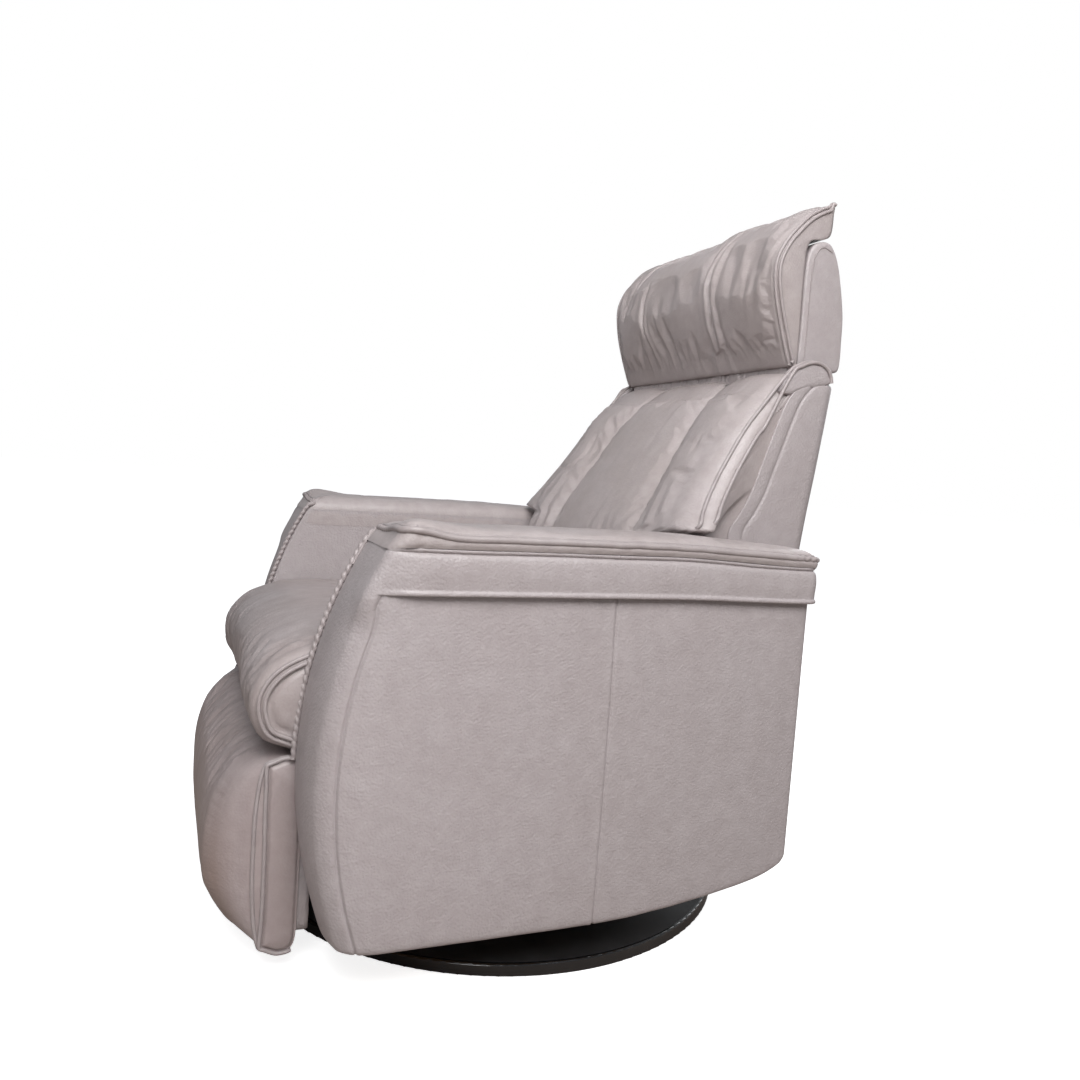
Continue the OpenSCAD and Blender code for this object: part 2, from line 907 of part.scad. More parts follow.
module arm_front() {
    color("#9e9692")
        intersection() {
            translate([arm_in, bow_y, bow_z])
                rotate([0, 90, 0])
                    rotate([0, 0, -90 - bow_span_half])
                        rotate_extrude(angle = 2 * bow_span_half, $fn = 180)
                            translate([bow_r - strip_t, 0])
                                strip_section();
            block([arm_in - cut, -bow_reach - cut, floor_gap], [arm_out + cut, 0, panel_top]);
        }
}

module strip_section() {
    square([strip_t - strip_round, arm_w]);
    translate([0, strip_round])
        square([strip_t, arm_w - 2 * strip_round]);
    for (h = [strip_round, arm_w - strip_round]) {
        spot([strip_t - strip_round, h], strip_round);
    }
}

module arm_front_left() {
    arm_front();
}

module arm_front_right() {
    right_side()
        arm_front();
}

module arm_band() {
    color("#a39a95")
        intersection() {
            translate([0, arm_rear, 0])
                rotate([90, 0, 0])
                    linear_extrude(arm_rear + bow_reach)
                        rounded_rect([arm_in, panel_top], [arm_out + band_over, band_top], band_round);
            along_x(arm_in - cut, arm_w + band_over + 2 * cut)
                intersection() {
                    translate([bow_y, bow_z])
                        circle(r = bow_r + band_over, $fn = 180);
                    translate([-bow_reach, panel_top - cut])
                        square([bow_reach + arm_rear, band_h + 2 * cut]);
                }
            translate([0, 0, panel_top - cut])
                linear_extrude(band_h + 2 * cut)
                    rounded_rect([arm_in, -band_front], [arm_out + band_over, arm_rear + band_corner_r + cut],
                        band_corner_r);
        }
}

module arm_band_left() {
    arm_band();
}

module arm_band_right() {
    right_side()
        arm_band();
}

// Soft pad on the arm: half an oval section whose height follows the shares from front to rear
function pad_ring(y, h) = let (hw = (arm_w + pad_over - band_round / 2) / 2, xc = arm_in + hw + soft_gap)
    [for (a = [0:pad_step_deg:180])
    [xc + hw * sign(cos(a)) * pow(abs(cos(a)), pad_side_power), y,
        band_top + h * pow(sin(a), pad_top_power)]];

module arm_pad() {
    color("#a8a09b")
        loft([for (i = [0:pad_rows])
            let (t = 1 - i / pad_rows)
            pad_ring(-pad_front + (pad_front + arm_rear - side_gap) * t, pad_h * lookup(t, arm_pad_shares))]);
}

module arm_pad_left() {
    arm_pad();
}

module arm_pad_right() {
    right_side()
        arm_pad();
}

// Rear panel, power inlet and control box
module rear_panel() {
    color("#6d6663")
        difference() {
            block([-arm_in, arm_rear - rear_panel_t, rear_panel_low_z], [arm_in, arm_rear, rear_panel_top_z]);
            block([inlet_x - inlet_w / 2, arm_rear - rear_panel_t - cut, inlet_z - inlet_h / 2],
                [inlet_x + inlet_w / 2, arm_rear + cut, inlet_z + inlet_h / 2]);
        }
}

module inlet_block(y, grow) {
    block([inlet_x - inlet_w / 2 - grow, y, inlet_z - inlet_h / 2 - grow],
        [inlet_x + inlet_w / 2 + grow, arm_rear + inlet_proud, inlet_z + inlet_h / 2 + grow]);
}

module power_inlet() {
    color("#1b1b1c")
        difference() {
            union() {
                inlet_block(arm_rear - inlet_l, -seam_gap);
                inlet_block(arm_rear, inlet_flange);
            }
            rod_y(arm_rear + inlet_proud - inlet_bore_l, inlet_bore_l + cut, inlet_x, inlet_z, inlet_bore_r);
        }
}

module control_box() {
    color("#222224")
        translate([control_box_x, rear_tube_y + tube_w, tube_z + tube_w - control_box_h])
            linear_extrude(control_box_h)
                rounded_rect([0, 0], [control_box_w, control_box_l], bezel_round / 2);
}

// Control panel on the inner face of the sitter's right arm, drawn on the left and mirrored
module bezel_shape(proud, grow, depth) {
    along_x(arm_in - proud, depth)
        rounded_rect([bezel_y - bezel_l / 2 - grow, bezel_z - bezel_h / 2 - grow],
            [bezel_y + bezel_l / 2 + grow, bezel_z + bezel_h / 2 + grow], bezel_round);
}

module button_place(i) {
    translate([arm_in, bezel_y + button_pitch * i, bezel_z])
        rotate([0, 90, 0])
            children();
}

module button_places() {
    for (i = [-2:2]) {
        button_place(i)
            children();
    }
}

module control_bezel() {
    color("#18181a")
        right_side()
            difference() {
                bezel_shape(bezel_proud, 0, bezel_t);
                button_places()
                    translate([0, 0, -bezel_proud - cut])
                        cylinder(h = bezel_t + 2 * cut, r = button_r + button_gap);
            }
}

module button(i) {
    color("#b9bbbe")
        right_side()
            button_place(i) {
                translate([0, 0, -bezel_proud - button_proud])
                    cylinder(h = bezel_t + button_proud + slide_gap + button_flange_t, r = button_r);
                translate([0, 0, bezel_t - bezel_proud + slide_gap])
                    cylinder(h = button_flange_t, r = button_flange_r);
            }
}

module button_open() {
    button(-2);
}

module button_close() {
    button(-1);
}

module button_home() {
    button(0);
}

module button_head_forward() {
    button(1);
}

module button_head_back() {
    button(2);
}

// Drive body: a tube in which the rod slides, a gearbox and a motor can on its side
module drive_body(x, z, mouth_y, l, gearbox_y, can_x) {
    color("#1d1e20") {
        difference() {
            rod_y(mouth_y, l, x, z, drive_tube_r);
            rod_y(mouth_y - cut, l + 2 * cut, x, z, drive_rod_r + run_clear);
        }
        translate([x, gearbox_y, z])
            rotate([-90, 0, 0])
                linear_extrude(gearbox_l)
                    rounded_rect([-gearbox_w / 2, -gearbox_h / 2], [gearbox_w / 2, gearbox_h / 2],
                        gearbox_round);
    }
    color("#2c2d30")
        rod_x(min(can_x, x), max(can_x, x), [gearbox_y + gearbox_l / 2, z], motor_can_r);
}

module footrest_motor() {
    drive_body(0, rest_rod_z, rest_tube_front_y, rest_tube_l, rest_gearbox_y, -gearbox_w / 2 - motor_can_l);
}

module back_motor() {
    drive_body(back_drive_x, back_rod_z, back_tube_rear_y - back_tube_l, back_tube_l,
        back_tube_rear_y - back_tube_l - gearbox_l, back_drive_x + gearbox_w / 2 + motor_can_l);
}

// Fork and rod of a drive. The fork's cheeks carry a slot for the lever's pin; way is 1 or -1 along Y.
module drive_rod(x, pin, rod_z, r, play, rise, way, rod_l) {
    half_l = r + play + fork_wall;
    slot_h = r + rise;
    bridge_y = pin[0] + way * fork_l;
    bridge_end = bridge_y + way * fork_bridge_t;
    for (s = [-1, 1]) {
        along_x(x + s * (crank_lever_t / 2 + slide_gap + fork_cheek_t / 2) - fork_cheek_t / 2, fork_cheek_t)
            difference() {
                translate([min(pin[0] - way * half_l, bridge_end), rod_z - slot_h - fork_wall])
                    square([fork_l + fork_bridge_t + half_l, 2 * (slot_h + fork_wall)]);
                translate([pin[0] - r - play, rod_z - slot_h])
                    square([2 * (r + play), 2 * slot_h]);
            }
    }
    translate([x - crank_lever_t / 2 - slide_gap - fork_cheek_t / 2, min(bridge_y, bridge_end),
        rod_z - fork_bridge_h / 2])
        cube([crank_lever_t + 2 * slide_gap + fork_cheek_t, fork_bridge_t, fork_bridge_h]);
    rod_y(bridge_y + (way > 0 ? fork_bridge_t : -rod_l), rod_l - fork_bridge_t, x, rod_z, drive_rod_r);
}

function pin_rise(r, travel) = (r * (1 - cos(travel / 2)) + fork_play) / 2;

module footrest_rod() {
    color("#b7babd")
        drive_rod(0, crank_lever_pin, rest_rod_z, pin_r, fork_play,
            pin_rise(crank_lever_r, crank_travel_deg), 1, rest_rod_l);
}

module back_rod() {
    color("#b7babd")
        drive_rod(back_drive_x, back_lever_pin, back_rod_z, back_pin_r, back_fork_play,
            pin_rise(back_lever_r, back_travel_deg), -1, back_rod_l);
}

// Lever with a pin that stands out on both sides into the fork
module lever(x, root, pin, w, r) {
    pin_half_l = crank_lever_t / 2 + slide_gap + fork_cheek_t;
    along_x(x - crank_lever_t / 2, crank_lever_t)
        bar(root, pin, w);
    rod_x(x - pin_half_l, x + pin_half_l, pin, r);
}

// Footrest crank: torque shaft, two crank plates with their pins, and the lever in the middle
module footrest_crank() {
    shaft_half_l = plate_x + plate_t - shaft_end_gap;
    color("#4a4c50") {
        rod_x(-shaft_half_l, shaft_half_l, crank_pivot, shaft_r);
        lever(0, crank_pivot, crank_lever_pin, crank_lever_w, pin_r);
        both_sides() {
            along_x(crank_x, link_t) {
                bar(crank_pivot, crank_pin, link_r);
                bar(crank_pivot, drive_pin, link_r);
                bar(crank_pin, drive_pin, link_r);
                polygon([crank_pivot, crank_pin, drive_pin]);
                spot(crank_pivot, shaft_r + link_gap);
            }
            headed_pin(crank_pin, crank_x + link_t, carrier_x);
            inward_pin(drive_pin, crank_x, drive_x);
        }
    }
}

// A pin that leaves a plate outward through a link that starts at link_x, with its shoulder and head
module headed_pin(p, from_x, link_x) {
    head_x = link_x + link_t + slide_gap;
    rod_x(from_x, link_x - slide_gap, p, pin_head_r);
    rod_x(from_x, head_x + pin_head_t, p, pin_r);
    rod_x(head_x, head_x + pin_head_t, p, pin_head_r);
}

// The same, leaving inward from from_x through a link that starts at link_x
module inward_pin(p, from_x, link_x) {
    rod_x(link_x + link_t + slide_gap, from_x, p, pin_head_r);
    rod_x(link_x - slide_gap - pin_head_t, from_x, p, pin_r);
    rod_x(link_x - slide_gap - pin_head_t, link_x - slide_gap, p, pin_head_r);
}

module carrier_links() {
    color("#4a4c50")
        both_sides() {
            along_x(carrier_x, link_t)
                difference() {
                    union() {
                        bar(crank_pin, board_pin, link_r);
                        bar(crank_pin, rocker_pin, link_r);
                        bar(rocker_pin, board_pin, link_r);
                        polygon([crank_pin, board_pin, rocker_pin]);
                    }
                    spot(crank_pin, pin_r + run_clear);
                    spot(board_pin, pin_r + run_clear);
                }
            headed_pin(rocker_pin, carrier_x + link_t, rocker_x);
        }
}

module rocker_links() {
    color("#4a4c50")
        both_sides()
            along_x(rocker_x, link_t)
                difference() {
                    bar(rocker_pivot, rocker_pin, link_r);
                    spot(rocker_pivot, pin_r + run_clear);
                    spot(rocker_pin, pin_r + link_play);
                }
}

module drive_links() {
    color("#4a4c50")
        both_sides()
            along_x(drive_x, link_t)
                difference() {
                    bar(drive_pin, board_drive_pin, link_r);
                    spot(drive_pin, pin_r + run_clear);
                    spot(board_drive_pin, pin_r + link_play);
                }
}

// Footrest board, its brackets and its pad
module footrest_board() {
    color("#c9a877")
        translate([0, board_front_y + board_t, 0])
            rotate([90, 0, 0])
                linear_extrude(board_t)
                    rounded_rect([-board_half_w, board_low_z], [board_half_w, board_top_z], board_round);
}

module footrest_brackets() {
    back_y = board_front_y + board_t;
    color("#4a4c50")
        both_sides() {
            along_x(crank_x, link_t) {
                bar(board_drive_pin, board_pin, link_r);
                polygon([[back_y, bracket_flange_low_z], board_pin + [link_r, -link_r], board_drive_pin,
                    board_drive_pin + [0, link_r], [back_y, bracket_flange_top_z + pin_r]]);
            }
            block([crank_x - bracket_flange_w, back_y, bracket_flange_low_z],
                [crank_x + link_t, back_y + bracket_flange_t, bracket_flange_top_z]);
            headed_pin(board_pin, crank_x + link_t, carrier_x);
            inward_pin(board_drive_pin, crank_x, drive_x);
        }
}

module footrest_pad() {
    outline = [for (s = rest_pad_shares) [board_front_y - rest_pad_gap - s[0] * rest_pad_t, rest_pad_low_z
        + s[1] * rest_pad_l]];
    color("#a39a95")
        cushion(closed_curve(outline, skin_steps), rest_pad_half_w, rest_pad_crown, rest_pad_pull, rest_pad_face,
            skin_rows);
}

// Back frame: two posts, cross rails, hinge plates, the drive lever and the headrest brackets
function on_post(t, off) = post_low + t * (post_top - post_low) + off * side_of(post_dir);

module back_frame() {
    color("#3a3b3e") {
        both_sides() {
            along_x(post_half_x - post_w / 2, post_w)
                polygon([on_post(0, -post_d / 2), on_post(1, -post_d / 2), on_post(1, post_d / 2),
                    on_post(0, post_d / 2)]);
            along_x(hinge_plate_x, hinge_plate_t)
                difference() {
                    union() {
                        bar(recline_p, hinge_plate_mid, hinge_plate_r);
                        bar(hinge_plate_mid, hinge_plate_end, hinge_plate_end_r);
                    }
                    spot(recline_p, hinge_pin_r + run_clear);
                }
            along_x(head_bracket_x, head_bracket_t)
                difference() {
                    bar(head_bracket_foot, tilt_p, head_bracket_r);
                    spot(tilt_p, tilt_shaft_r + run_clear);
                }
        }
        for (s = back_rail_shares) {
            along_x(-post_half_x, 2 * post_half_x)
                polygon([on_post(s[0], -post_d / 2), on_post(s[1], -post_d / 2),
                    on_post(s[1], -post_d / 2 + back_rail_t), on_post(s[0], -post_d / 2 + back_rail_t)]);
        }
        lever(back_drive_x, on_post(back_rail_mid_share, 0), back_lever_pin, back_lever_w, back_pin_r);
        translate([-head_motor_w / 2, head_foot_y, head_motor_z + (head_motor_h - head_foot_h) / 2])
            cube([head_motor_w, head_motor_y - head_foot_y, head_foot_h]);
    }
}

// Leather-covered outside back: a rear wall with rounded corners and two side walls
module back_prism(inset) {
    translate([0, shell_low_y, shell_low_z])
        rotate([-atan((shell_top_y - shell_low_y) / (shell_top_z - shell_low_z)), 0, 0])
            translate([0, 0, -shell_half_w])
                linear_extrude(shell_top_z + shell_half_w)
                    rounded_rect([-shell_half_w + inset, -shell_half_w], [shell_half_w - inset, -inset],
                        shell_rear_round - inset);
}

module shell_side(top, front) {
    polygon([[shell_side_foot_y - front, shell_low_z - front],
        [shell_top_y + shell_half_w, shell_low_z - front], [shell_top_y + shell_half_w, top],
        [shell_top_front_y - front, top], [shell_seam_y - front, shell_seam_z],
        [shell_side_low_y - front, shell_side_low_z]]);
}

module back_shell() {
    color("#9e9692")
        difference() {
            intersection() {
                back_prism(0);
                along_x(-shell_half_w - cut, 2 * (shell_half_w + cut))
                    shell_side(shell_top_z, 0);
            }
            intersection() {
                back_prism(shell_t);
                along_x(-shell_half_w - cut, 2 * (shell_half_w + cut))
                    shell_side(shell_top_z - shell_t, post_w);
            }
            block([-head_rod_r - shell_t, shell_top_front_y - cut, shell_top_z - 2 * shell_t],
                [head_rod_r + shell_t, head_rod_y + head_rod_r + shell_t, shell_top_z + cut]);
        }
}

module back_cushion() {
    outline = placed(back_shares, back_front_y, back_low_z, back_depth, back_h);
    color("#a39a95")
        cushion(closed_curve(outline, skin_steps), back_half_w, back_crown, back_pull, back_face, back_rows,
            back_channel_x, back_channel_depth, back_channel_w);
}

// Headrest: tilt shaft with arms and lever, shell, pillow, drive rod and gusset

module headrest_frame() {
    color("#3a3b3e") {
        rod_x(-tilt_shaft_half_l, tilt_shaft_half_l, tilt_p, tilt_shaft_r);
        both_sides()
            along_x(head_arm_x, head_arm_t) {
                bar(tilt_p, head_arm_mid, head_arm_r);
                bar(head_arm_mid, head_arm_top, head_arm_r);
            }
        along_x(-head_half_w + head_shell_t, 2 * (head_half_w - head_shell_t))
            bar(head_plate_low, head_arm_top, head_plate_r);
        along_x(-head_lever_t / 2, head_lever_t)
            bar(tilt_p, head_lever_pin, head_lever_r);
        rod_x(-head_fork_half_w, head_fork_half_w, head_lever_pin, head_pin_r);
    }
}

module headrest_rod() {
    slot = head_pin_r + run_clear;
    fork_low_z = head_lever_pin[1] - head_fork_l;
    color("#b7babd") {
        for (s = [-1, 1]) {
            along_x(s * (head_lever_t / 2 + slide_gap + head_fork_t / 2) - head_fork_t / 2, head_fork_t)
                difference() {
                    translate([head_rod_y - slot - slide_gap - head_fork_wall, fork_low_z])
                        square([2 * (slot + slide_gap + head_fork_wall), head_fork_l + slot + head_fork_wall]);
                    translate([head_rod_y - slot - slide_gap, head_lever_pin[1] - slot])
                        square([2 * (slot + slide_gap), 2 * slot]);
                }
        }
        block([-head_fork_half_w, head_rod_y - head_rod_r, fork_low_z - head_fork_wall],
            [head_fork_half_w, head_rod_y + head_rod_r, fork_low_z]);
        translate([0, head_rod_y, fork_low_z - head_rod_l])
            cylinder(h = head_rod_l, r = head_rod_r);
    }
}

module headrest_motor() {
    color("#1d1e20")
        difference() {
            union() {
                translate([0, head_rod_y, head_tube_top_z - head_tube_l])
                    cylinder(h = head_tube_l, r = head_tube_r);
                translate([-head_motor_w / 2, head_motor_y, head_motor_z])
                    cube([head_motor_w, head_motor_d, head_motor_h]);
            }
            translate([0, head_rod_y, head_tube_top_z - head_tube_l + head_tube_floor])
                cylinder(h = head_tube_l, r = head_rod_r + run_clear);
        }
}

module headrest_shell() {
    corners = placed(head_shell_shares, head_shell_y, head_shell_z, head_shell_depth, head_shell_h);
    outline = closed_curve(corners, head_shell_steps);
    lining = [for (i = [0:len(outline) - 1]) let (p = outline[i] - head_shell_t * outward(outline, i))
        p[0] < head_shell_y + 2 * head_shell_t ? [head_shell_y - cut, p[1]] : p];
    color("#9e9692")
        difference() {
            along_x(-head_half_w, 2 * head_half_w)
                polygon(outline);
            along_x(-head_half_w + head_shell_t, 2 * (head_half_w - head_shell_t))
                polygon(lining);
            block([-tilt_shaft_half_l - shell_t, head_shell_y - cut, head_shell_z - cut],
                [tilt_shaft_half_l + shell_t, head_mouth_y, head_mouth_z]);
        }
}

module headrest_pillow() {
    outline = placed(pillow_shares, pillow_y, pillow_z, pillow_depth, head_h);
    color("#a39a95")
        cushion(closed_curve(outline, skin_steps), head_half_w, pillow_crown, pillow_pull, pillow_face,
            skin_rows);
}

module headrest_gusset() {
    color("#8e8682")
        along_x(-gusset_half_w, 2 * gusset_half_w)
            polygon(closed_curve(placed(gusset_shares, gusset_y, gusset_z, gusset_depth, gusset_h), skin_steps));
}

// One line per piece
base_disc();
base_edge_band();
floor_pads();
bearing_lower_race();
bearing_balls();
bearing_upper_race();
swivel_frame();
base_side_plate_left();
base_side_plate_right();
frame_bolts();
front_glide_links();
rear_glide_links();
glide_rail_left();
glide_rail_right();
mechanism_plate_left();
mechanism_plate_right();
seat_frame();
seat_springs();
seat_cushion();
arm_frames();
arm_outer_panel_left();
arm_outer_panel_right();
arm_inner_panel_left();
arm_inner_panel_right();
arm_front_left();
arm_front_right();
arm_band_left();
arm_band_right();
arm_pad_left();
arm_pad_right();
rear_panel();
power_inlet();
control_box();
control_bezel();
button_open();
button_close();
button_head_forward();
button_head_back();
button_home();
footrest_motor();
back_motor();
footrest_crank();
carrier_links();
rocker_links();
drive_links();
footrest_board();
footrest_brackets();
footrest_pad();
footrest_rod();
back_frame();
back_shell();
back_cushion();
headrest_motor();
back_rod();
headrest_frame();
headrest_shell();
headrest_pillow();
headrest_rod();
headrest_gusset();
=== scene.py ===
# Swivel glider power recliner: upholstery, finishes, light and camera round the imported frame
import json
import math

import bmesh
import bpy
import numpy as np
from mathutils import Matrix, Vector


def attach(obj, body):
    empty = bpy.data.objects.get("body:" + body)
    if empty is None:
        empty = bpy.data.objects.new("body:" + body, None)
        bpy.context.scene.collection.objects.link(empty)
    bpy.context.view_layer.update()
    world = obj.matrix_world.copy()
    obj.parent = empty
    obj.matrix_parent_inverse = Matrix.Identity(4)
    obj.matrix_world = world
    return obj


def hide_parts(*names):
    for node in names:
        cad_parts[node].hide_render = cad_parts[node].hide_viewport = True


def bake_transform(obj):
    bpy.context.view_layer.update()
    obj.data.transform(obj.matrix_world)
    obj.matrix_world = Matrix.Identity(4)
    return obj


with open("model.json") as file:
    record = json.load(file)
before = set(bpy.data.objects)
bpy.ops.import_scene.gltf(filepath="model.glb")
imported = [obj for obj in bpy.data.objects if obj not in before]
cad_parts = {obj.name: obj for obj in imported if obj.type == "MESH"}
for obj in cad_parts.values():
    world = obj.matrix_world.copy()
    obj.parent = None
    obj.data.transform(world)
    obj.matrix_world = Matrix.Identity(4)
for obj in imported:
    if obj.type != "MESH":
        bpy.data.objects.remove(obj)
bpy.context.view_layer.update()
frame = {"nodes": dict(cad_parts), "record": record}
scene = bpy.context.scene
MM = 0.001


# Curves and noise, in millimetres
def arr(p):
    return np.asarray(p, float)


def catmull(points, steps, closed=False):
    """A smooth curve through the points, with steps points for each stretch between two of them."""
    p = arr(points)
    n = len(p)
    out = []
    for i in range(n if closed else n - 1):
        a, b, c, d = (p[(i + k) % n] if closed else p[min(max(i + k, 0), n - 1)] for k in (-1, 0, 1, 2))
        for t in np.arange(steps) / steps:
            out.append(0.5 * (2 * b + (c - a) * t + (2 * a - 5 * b + 4 * c - d) * t * t
                              + (3 * b - a - 3 * c + d) * t ** 3))
    if not closed:
        out.append(p[-1])
    return arr(out)


def resample(curve, n, closed=False):
    """The same curve as n points at even distances."""
    c = np.vstack([curve, curve[:1]]) if closed else arr(curve)
    s = np.r_[0, np.cumsum(np.linalg.norm(np.diff(c, axis=0), axis=1))]
    t = np.linspace(0, s[-1], n + 1)[:-1] if closed else np.linspace(0, s[-1], n)
    return np.stack([np.interp(t, s, c[:, k]) for k in range(c.shape[1])], 1)


def smooth(points, n, closed=False):
    return resample(catmull(points, 12, closed), n, closed)


def step(a, b, v):
    """Rises smoothly from 0 at a to 1 at b."""
    t = np.clip((v - a) / (b - a), 0, 1)
    return t * t * (3 - 2 * t)


def bell(v, mid, width):
    return np.exp(-((v - mid) / width) ** 2)


def noise(u, v, seed):
    """Smooth repeatable unevenness between -1 and 1, with one cell for each unit of u and v."""
    u, v = np.broadcast_arrays(arr(u), arr(v))
    iu, iv = np.floor(u).astype(np.int64), np.floor(v).astype(np.int64)
    fu, fv = u - iu, v - iv
    fu, fv = fu * fu * (3 - 2 * fu), fv * fv * (3 - 2 * fv)

    def corner(a, b):
        h = (a * 374761393 + b * 668265263 + seed * 1442695041) & 0xFFFFFFFF
        h = ((h ^ (h >> 13)) * 1274126177) & 0xFFFFFFFF
        return ((h ^ (h >> 16)) & 0xFFFF) / 32767.5 - 1

    low = corner(iu, iv) * (1 - fu) + corner(iu + 1, iv) * fu
    high = corner(iu, iv + 1) * (1 - fu) + corner(iu + 1, iv + 1) * fu
    return low * (1 - fv) + high * fv


# Meshes
def grid_faces(rows, cols, wrap_rows=False, wrap_cols=False):
    """Four-sided faces over a grid of points, which may close on itself either way."""
    r, c = np.meshgrid(np.arange(rows if wrap_rows else rows - 1), np.arange(cols if wrap_cols else cols - 1),
                       indexing="ij")
    r2, c2 = (r + 1) % rows, (c + 1) % cols
    corners = [r * cols + c, r * cols + c2, r2 * cols + c2, r2 * cols + c]
    return np.stack(corners, -1).reshape(-1, 4).tolist()


def piece(name, points, faces, material, body, flip=False, level=0, solid=False):
    """A piece from points in millimetres. solid joins its parts with every face outward, flip turns the
    faces of a mirrored piece, and level is its subdivision."""
    mesh = bpy.data.meshes.new(name)
    if flip:
        faces = [f[::-1] for f in faces]
    mesh.from_pydata((arr(points).reshape(-1, 3) * MM).tolist(), [], faces)
    if solid:
        work = bmesh.new()
        work.from_mesh(mesh)
        bmesh.ops.remove_doubles(work, verts=work.verts, dist=1e-5)
        bmesh.ops.recalc_face_normals(work, faces=work.faces)
        work.to_mesh(mesh)
        work.free()
    mesh.polygons.foreach_set("use_smooth", [True] * len(mesh.polygons))
    mesh.materials.append(material)
    obj = bpy.data.objects.new(name, mesh)
    scene.collection.objects.link(obj)
    if level:
        sub = obj.modifiers.new("fine", "SUBSURF")
        sub.levels = sub.render_levels = level
    if body:
        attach(obj, body)
    return obj


def tube(path, radius, sides=8, closed=False, bumps=None):
    """A round tube along a path. bumps(distance, angle) scales its radius, as stitches do."""
    p = arr(path)
    n = len(p)
    ahead = np.roll(p, -1, 0) - np.roll(p, 1, 0) if closed else np.gradient(p, axis=0)
    ahead /= np.linalg.norm(ahead, axis=1)[:, None]
    up = np.cross(ahead[0], [0.3, 0.2, 1.0])
    up /= np.linalg.norm(up)
    dist = np.r_[0, np.cumsum(np.linalg.norm(np.diff(p, axis=0), axis=1))]
    a = np.linspace(0, 2 * math.pi, sides, endpoint=False)
    rings = []
    for i in range(n):
        up = up - ahead[i] * (up @ ahead[i])
        up /= np.linalg.norm(up)
        side = np.cross(ahead[i], up)
        r = radius * (bumps(dist[i], a) if bumps else 1.0)
        rings.append(p[i] + (np.cos(a) * r)[:, None] * up + (np.sin(a) * r)[:, None] * side)
    return np.concatenate(rings), grid_faces(n, sides, closed, True)


def joined(parts):
    """One set of points and faces from several."""
    points, faces, start = [], [], 0
    for p, f in parts:
        p = arr(p).reshape(-1, 3)
        points.append(p)
        faces += [[i + start for i in face] for face in f]
        start += len(p)
    return np.concatenate(points), faces


def normals_2d(loop, closed=True):
    """Normals on the right of a flat curve, which is outward where it runs counter-clockwise."""
    d = np.roll(loop, -1, 0) - np.roll(loop, 1, 0) if closed else np.gradient(loop, axis=0)
    d /= np.maximum(np.linalg.norm(d, axis=1), 1e-9)[:, None]
    return np.stack([d[:, 1], -d[:, 0]], 1)


# Materials
def new_material(name):
    m = bpy.data.materials.new(name)
    m.use_nodes = True
    return m, m.node_tree.nodes, m.node_tree.links, m.node_tree.nodes["Principled BSDF"]


def srgb(r, g, b):
    """A screen colour, 0 to 255, as the linear values that a shader takes."""
    linear = [c / 255 / 12.92 if c <= 10.31 else ((c / 255 + 0.055) / 1.055) ** 2.4 for c in (r, g, b)]
    return (*linear, 1)


def fill(node, **values):
    """Sets inputs of a shader node, with an underscore for each space in a name."""
    for name, value in values.items():
        node.inputs[name.replace("_", " ")].default_value = value
    return node


def add_noise(n, l, coord, scale, detail=2.0, rough=0.5, stretch=None):
    tex = fill(n.new("ShaderNodeTexNoise"), Scale=scale, Detail=detail, Roughness=rough)
    if stretch:
        place = fill(n.new("ShaderNodeMapping"), Scale=stretch)
        l.new(coord, place.inputs["Vector"])
        coord = place.outputs["Vector"]
    l.new(coord, tex.inputs["Vector"])
    return tex.outputs["Fac"]


def add_range(n, l, value, a, b, lo=0.3, hi=0.7):
    r = fill(n.new("ShaderNodeMapRange"), From_Min=lo, From_Max=hi, To_Min=a, To_Max=b)
    l.new(value, r.inputs["Value"])
    return r.outputs["Result"]


def add_mix(n, l, factor, a, b):
    mix = n.new("ShaderNodeMix")
    mix.data_type = "RGBA"
    l.new(factor, mix.inputs["Factor"])
    for socket, value in ((mix.inputs["A"], a), (mix.inputs["B"], b)):
        if isinstance(value, tuple):
            socket.default_value = value
        else:
            l.new(value, socket)
    return mix.outputs["Result"]


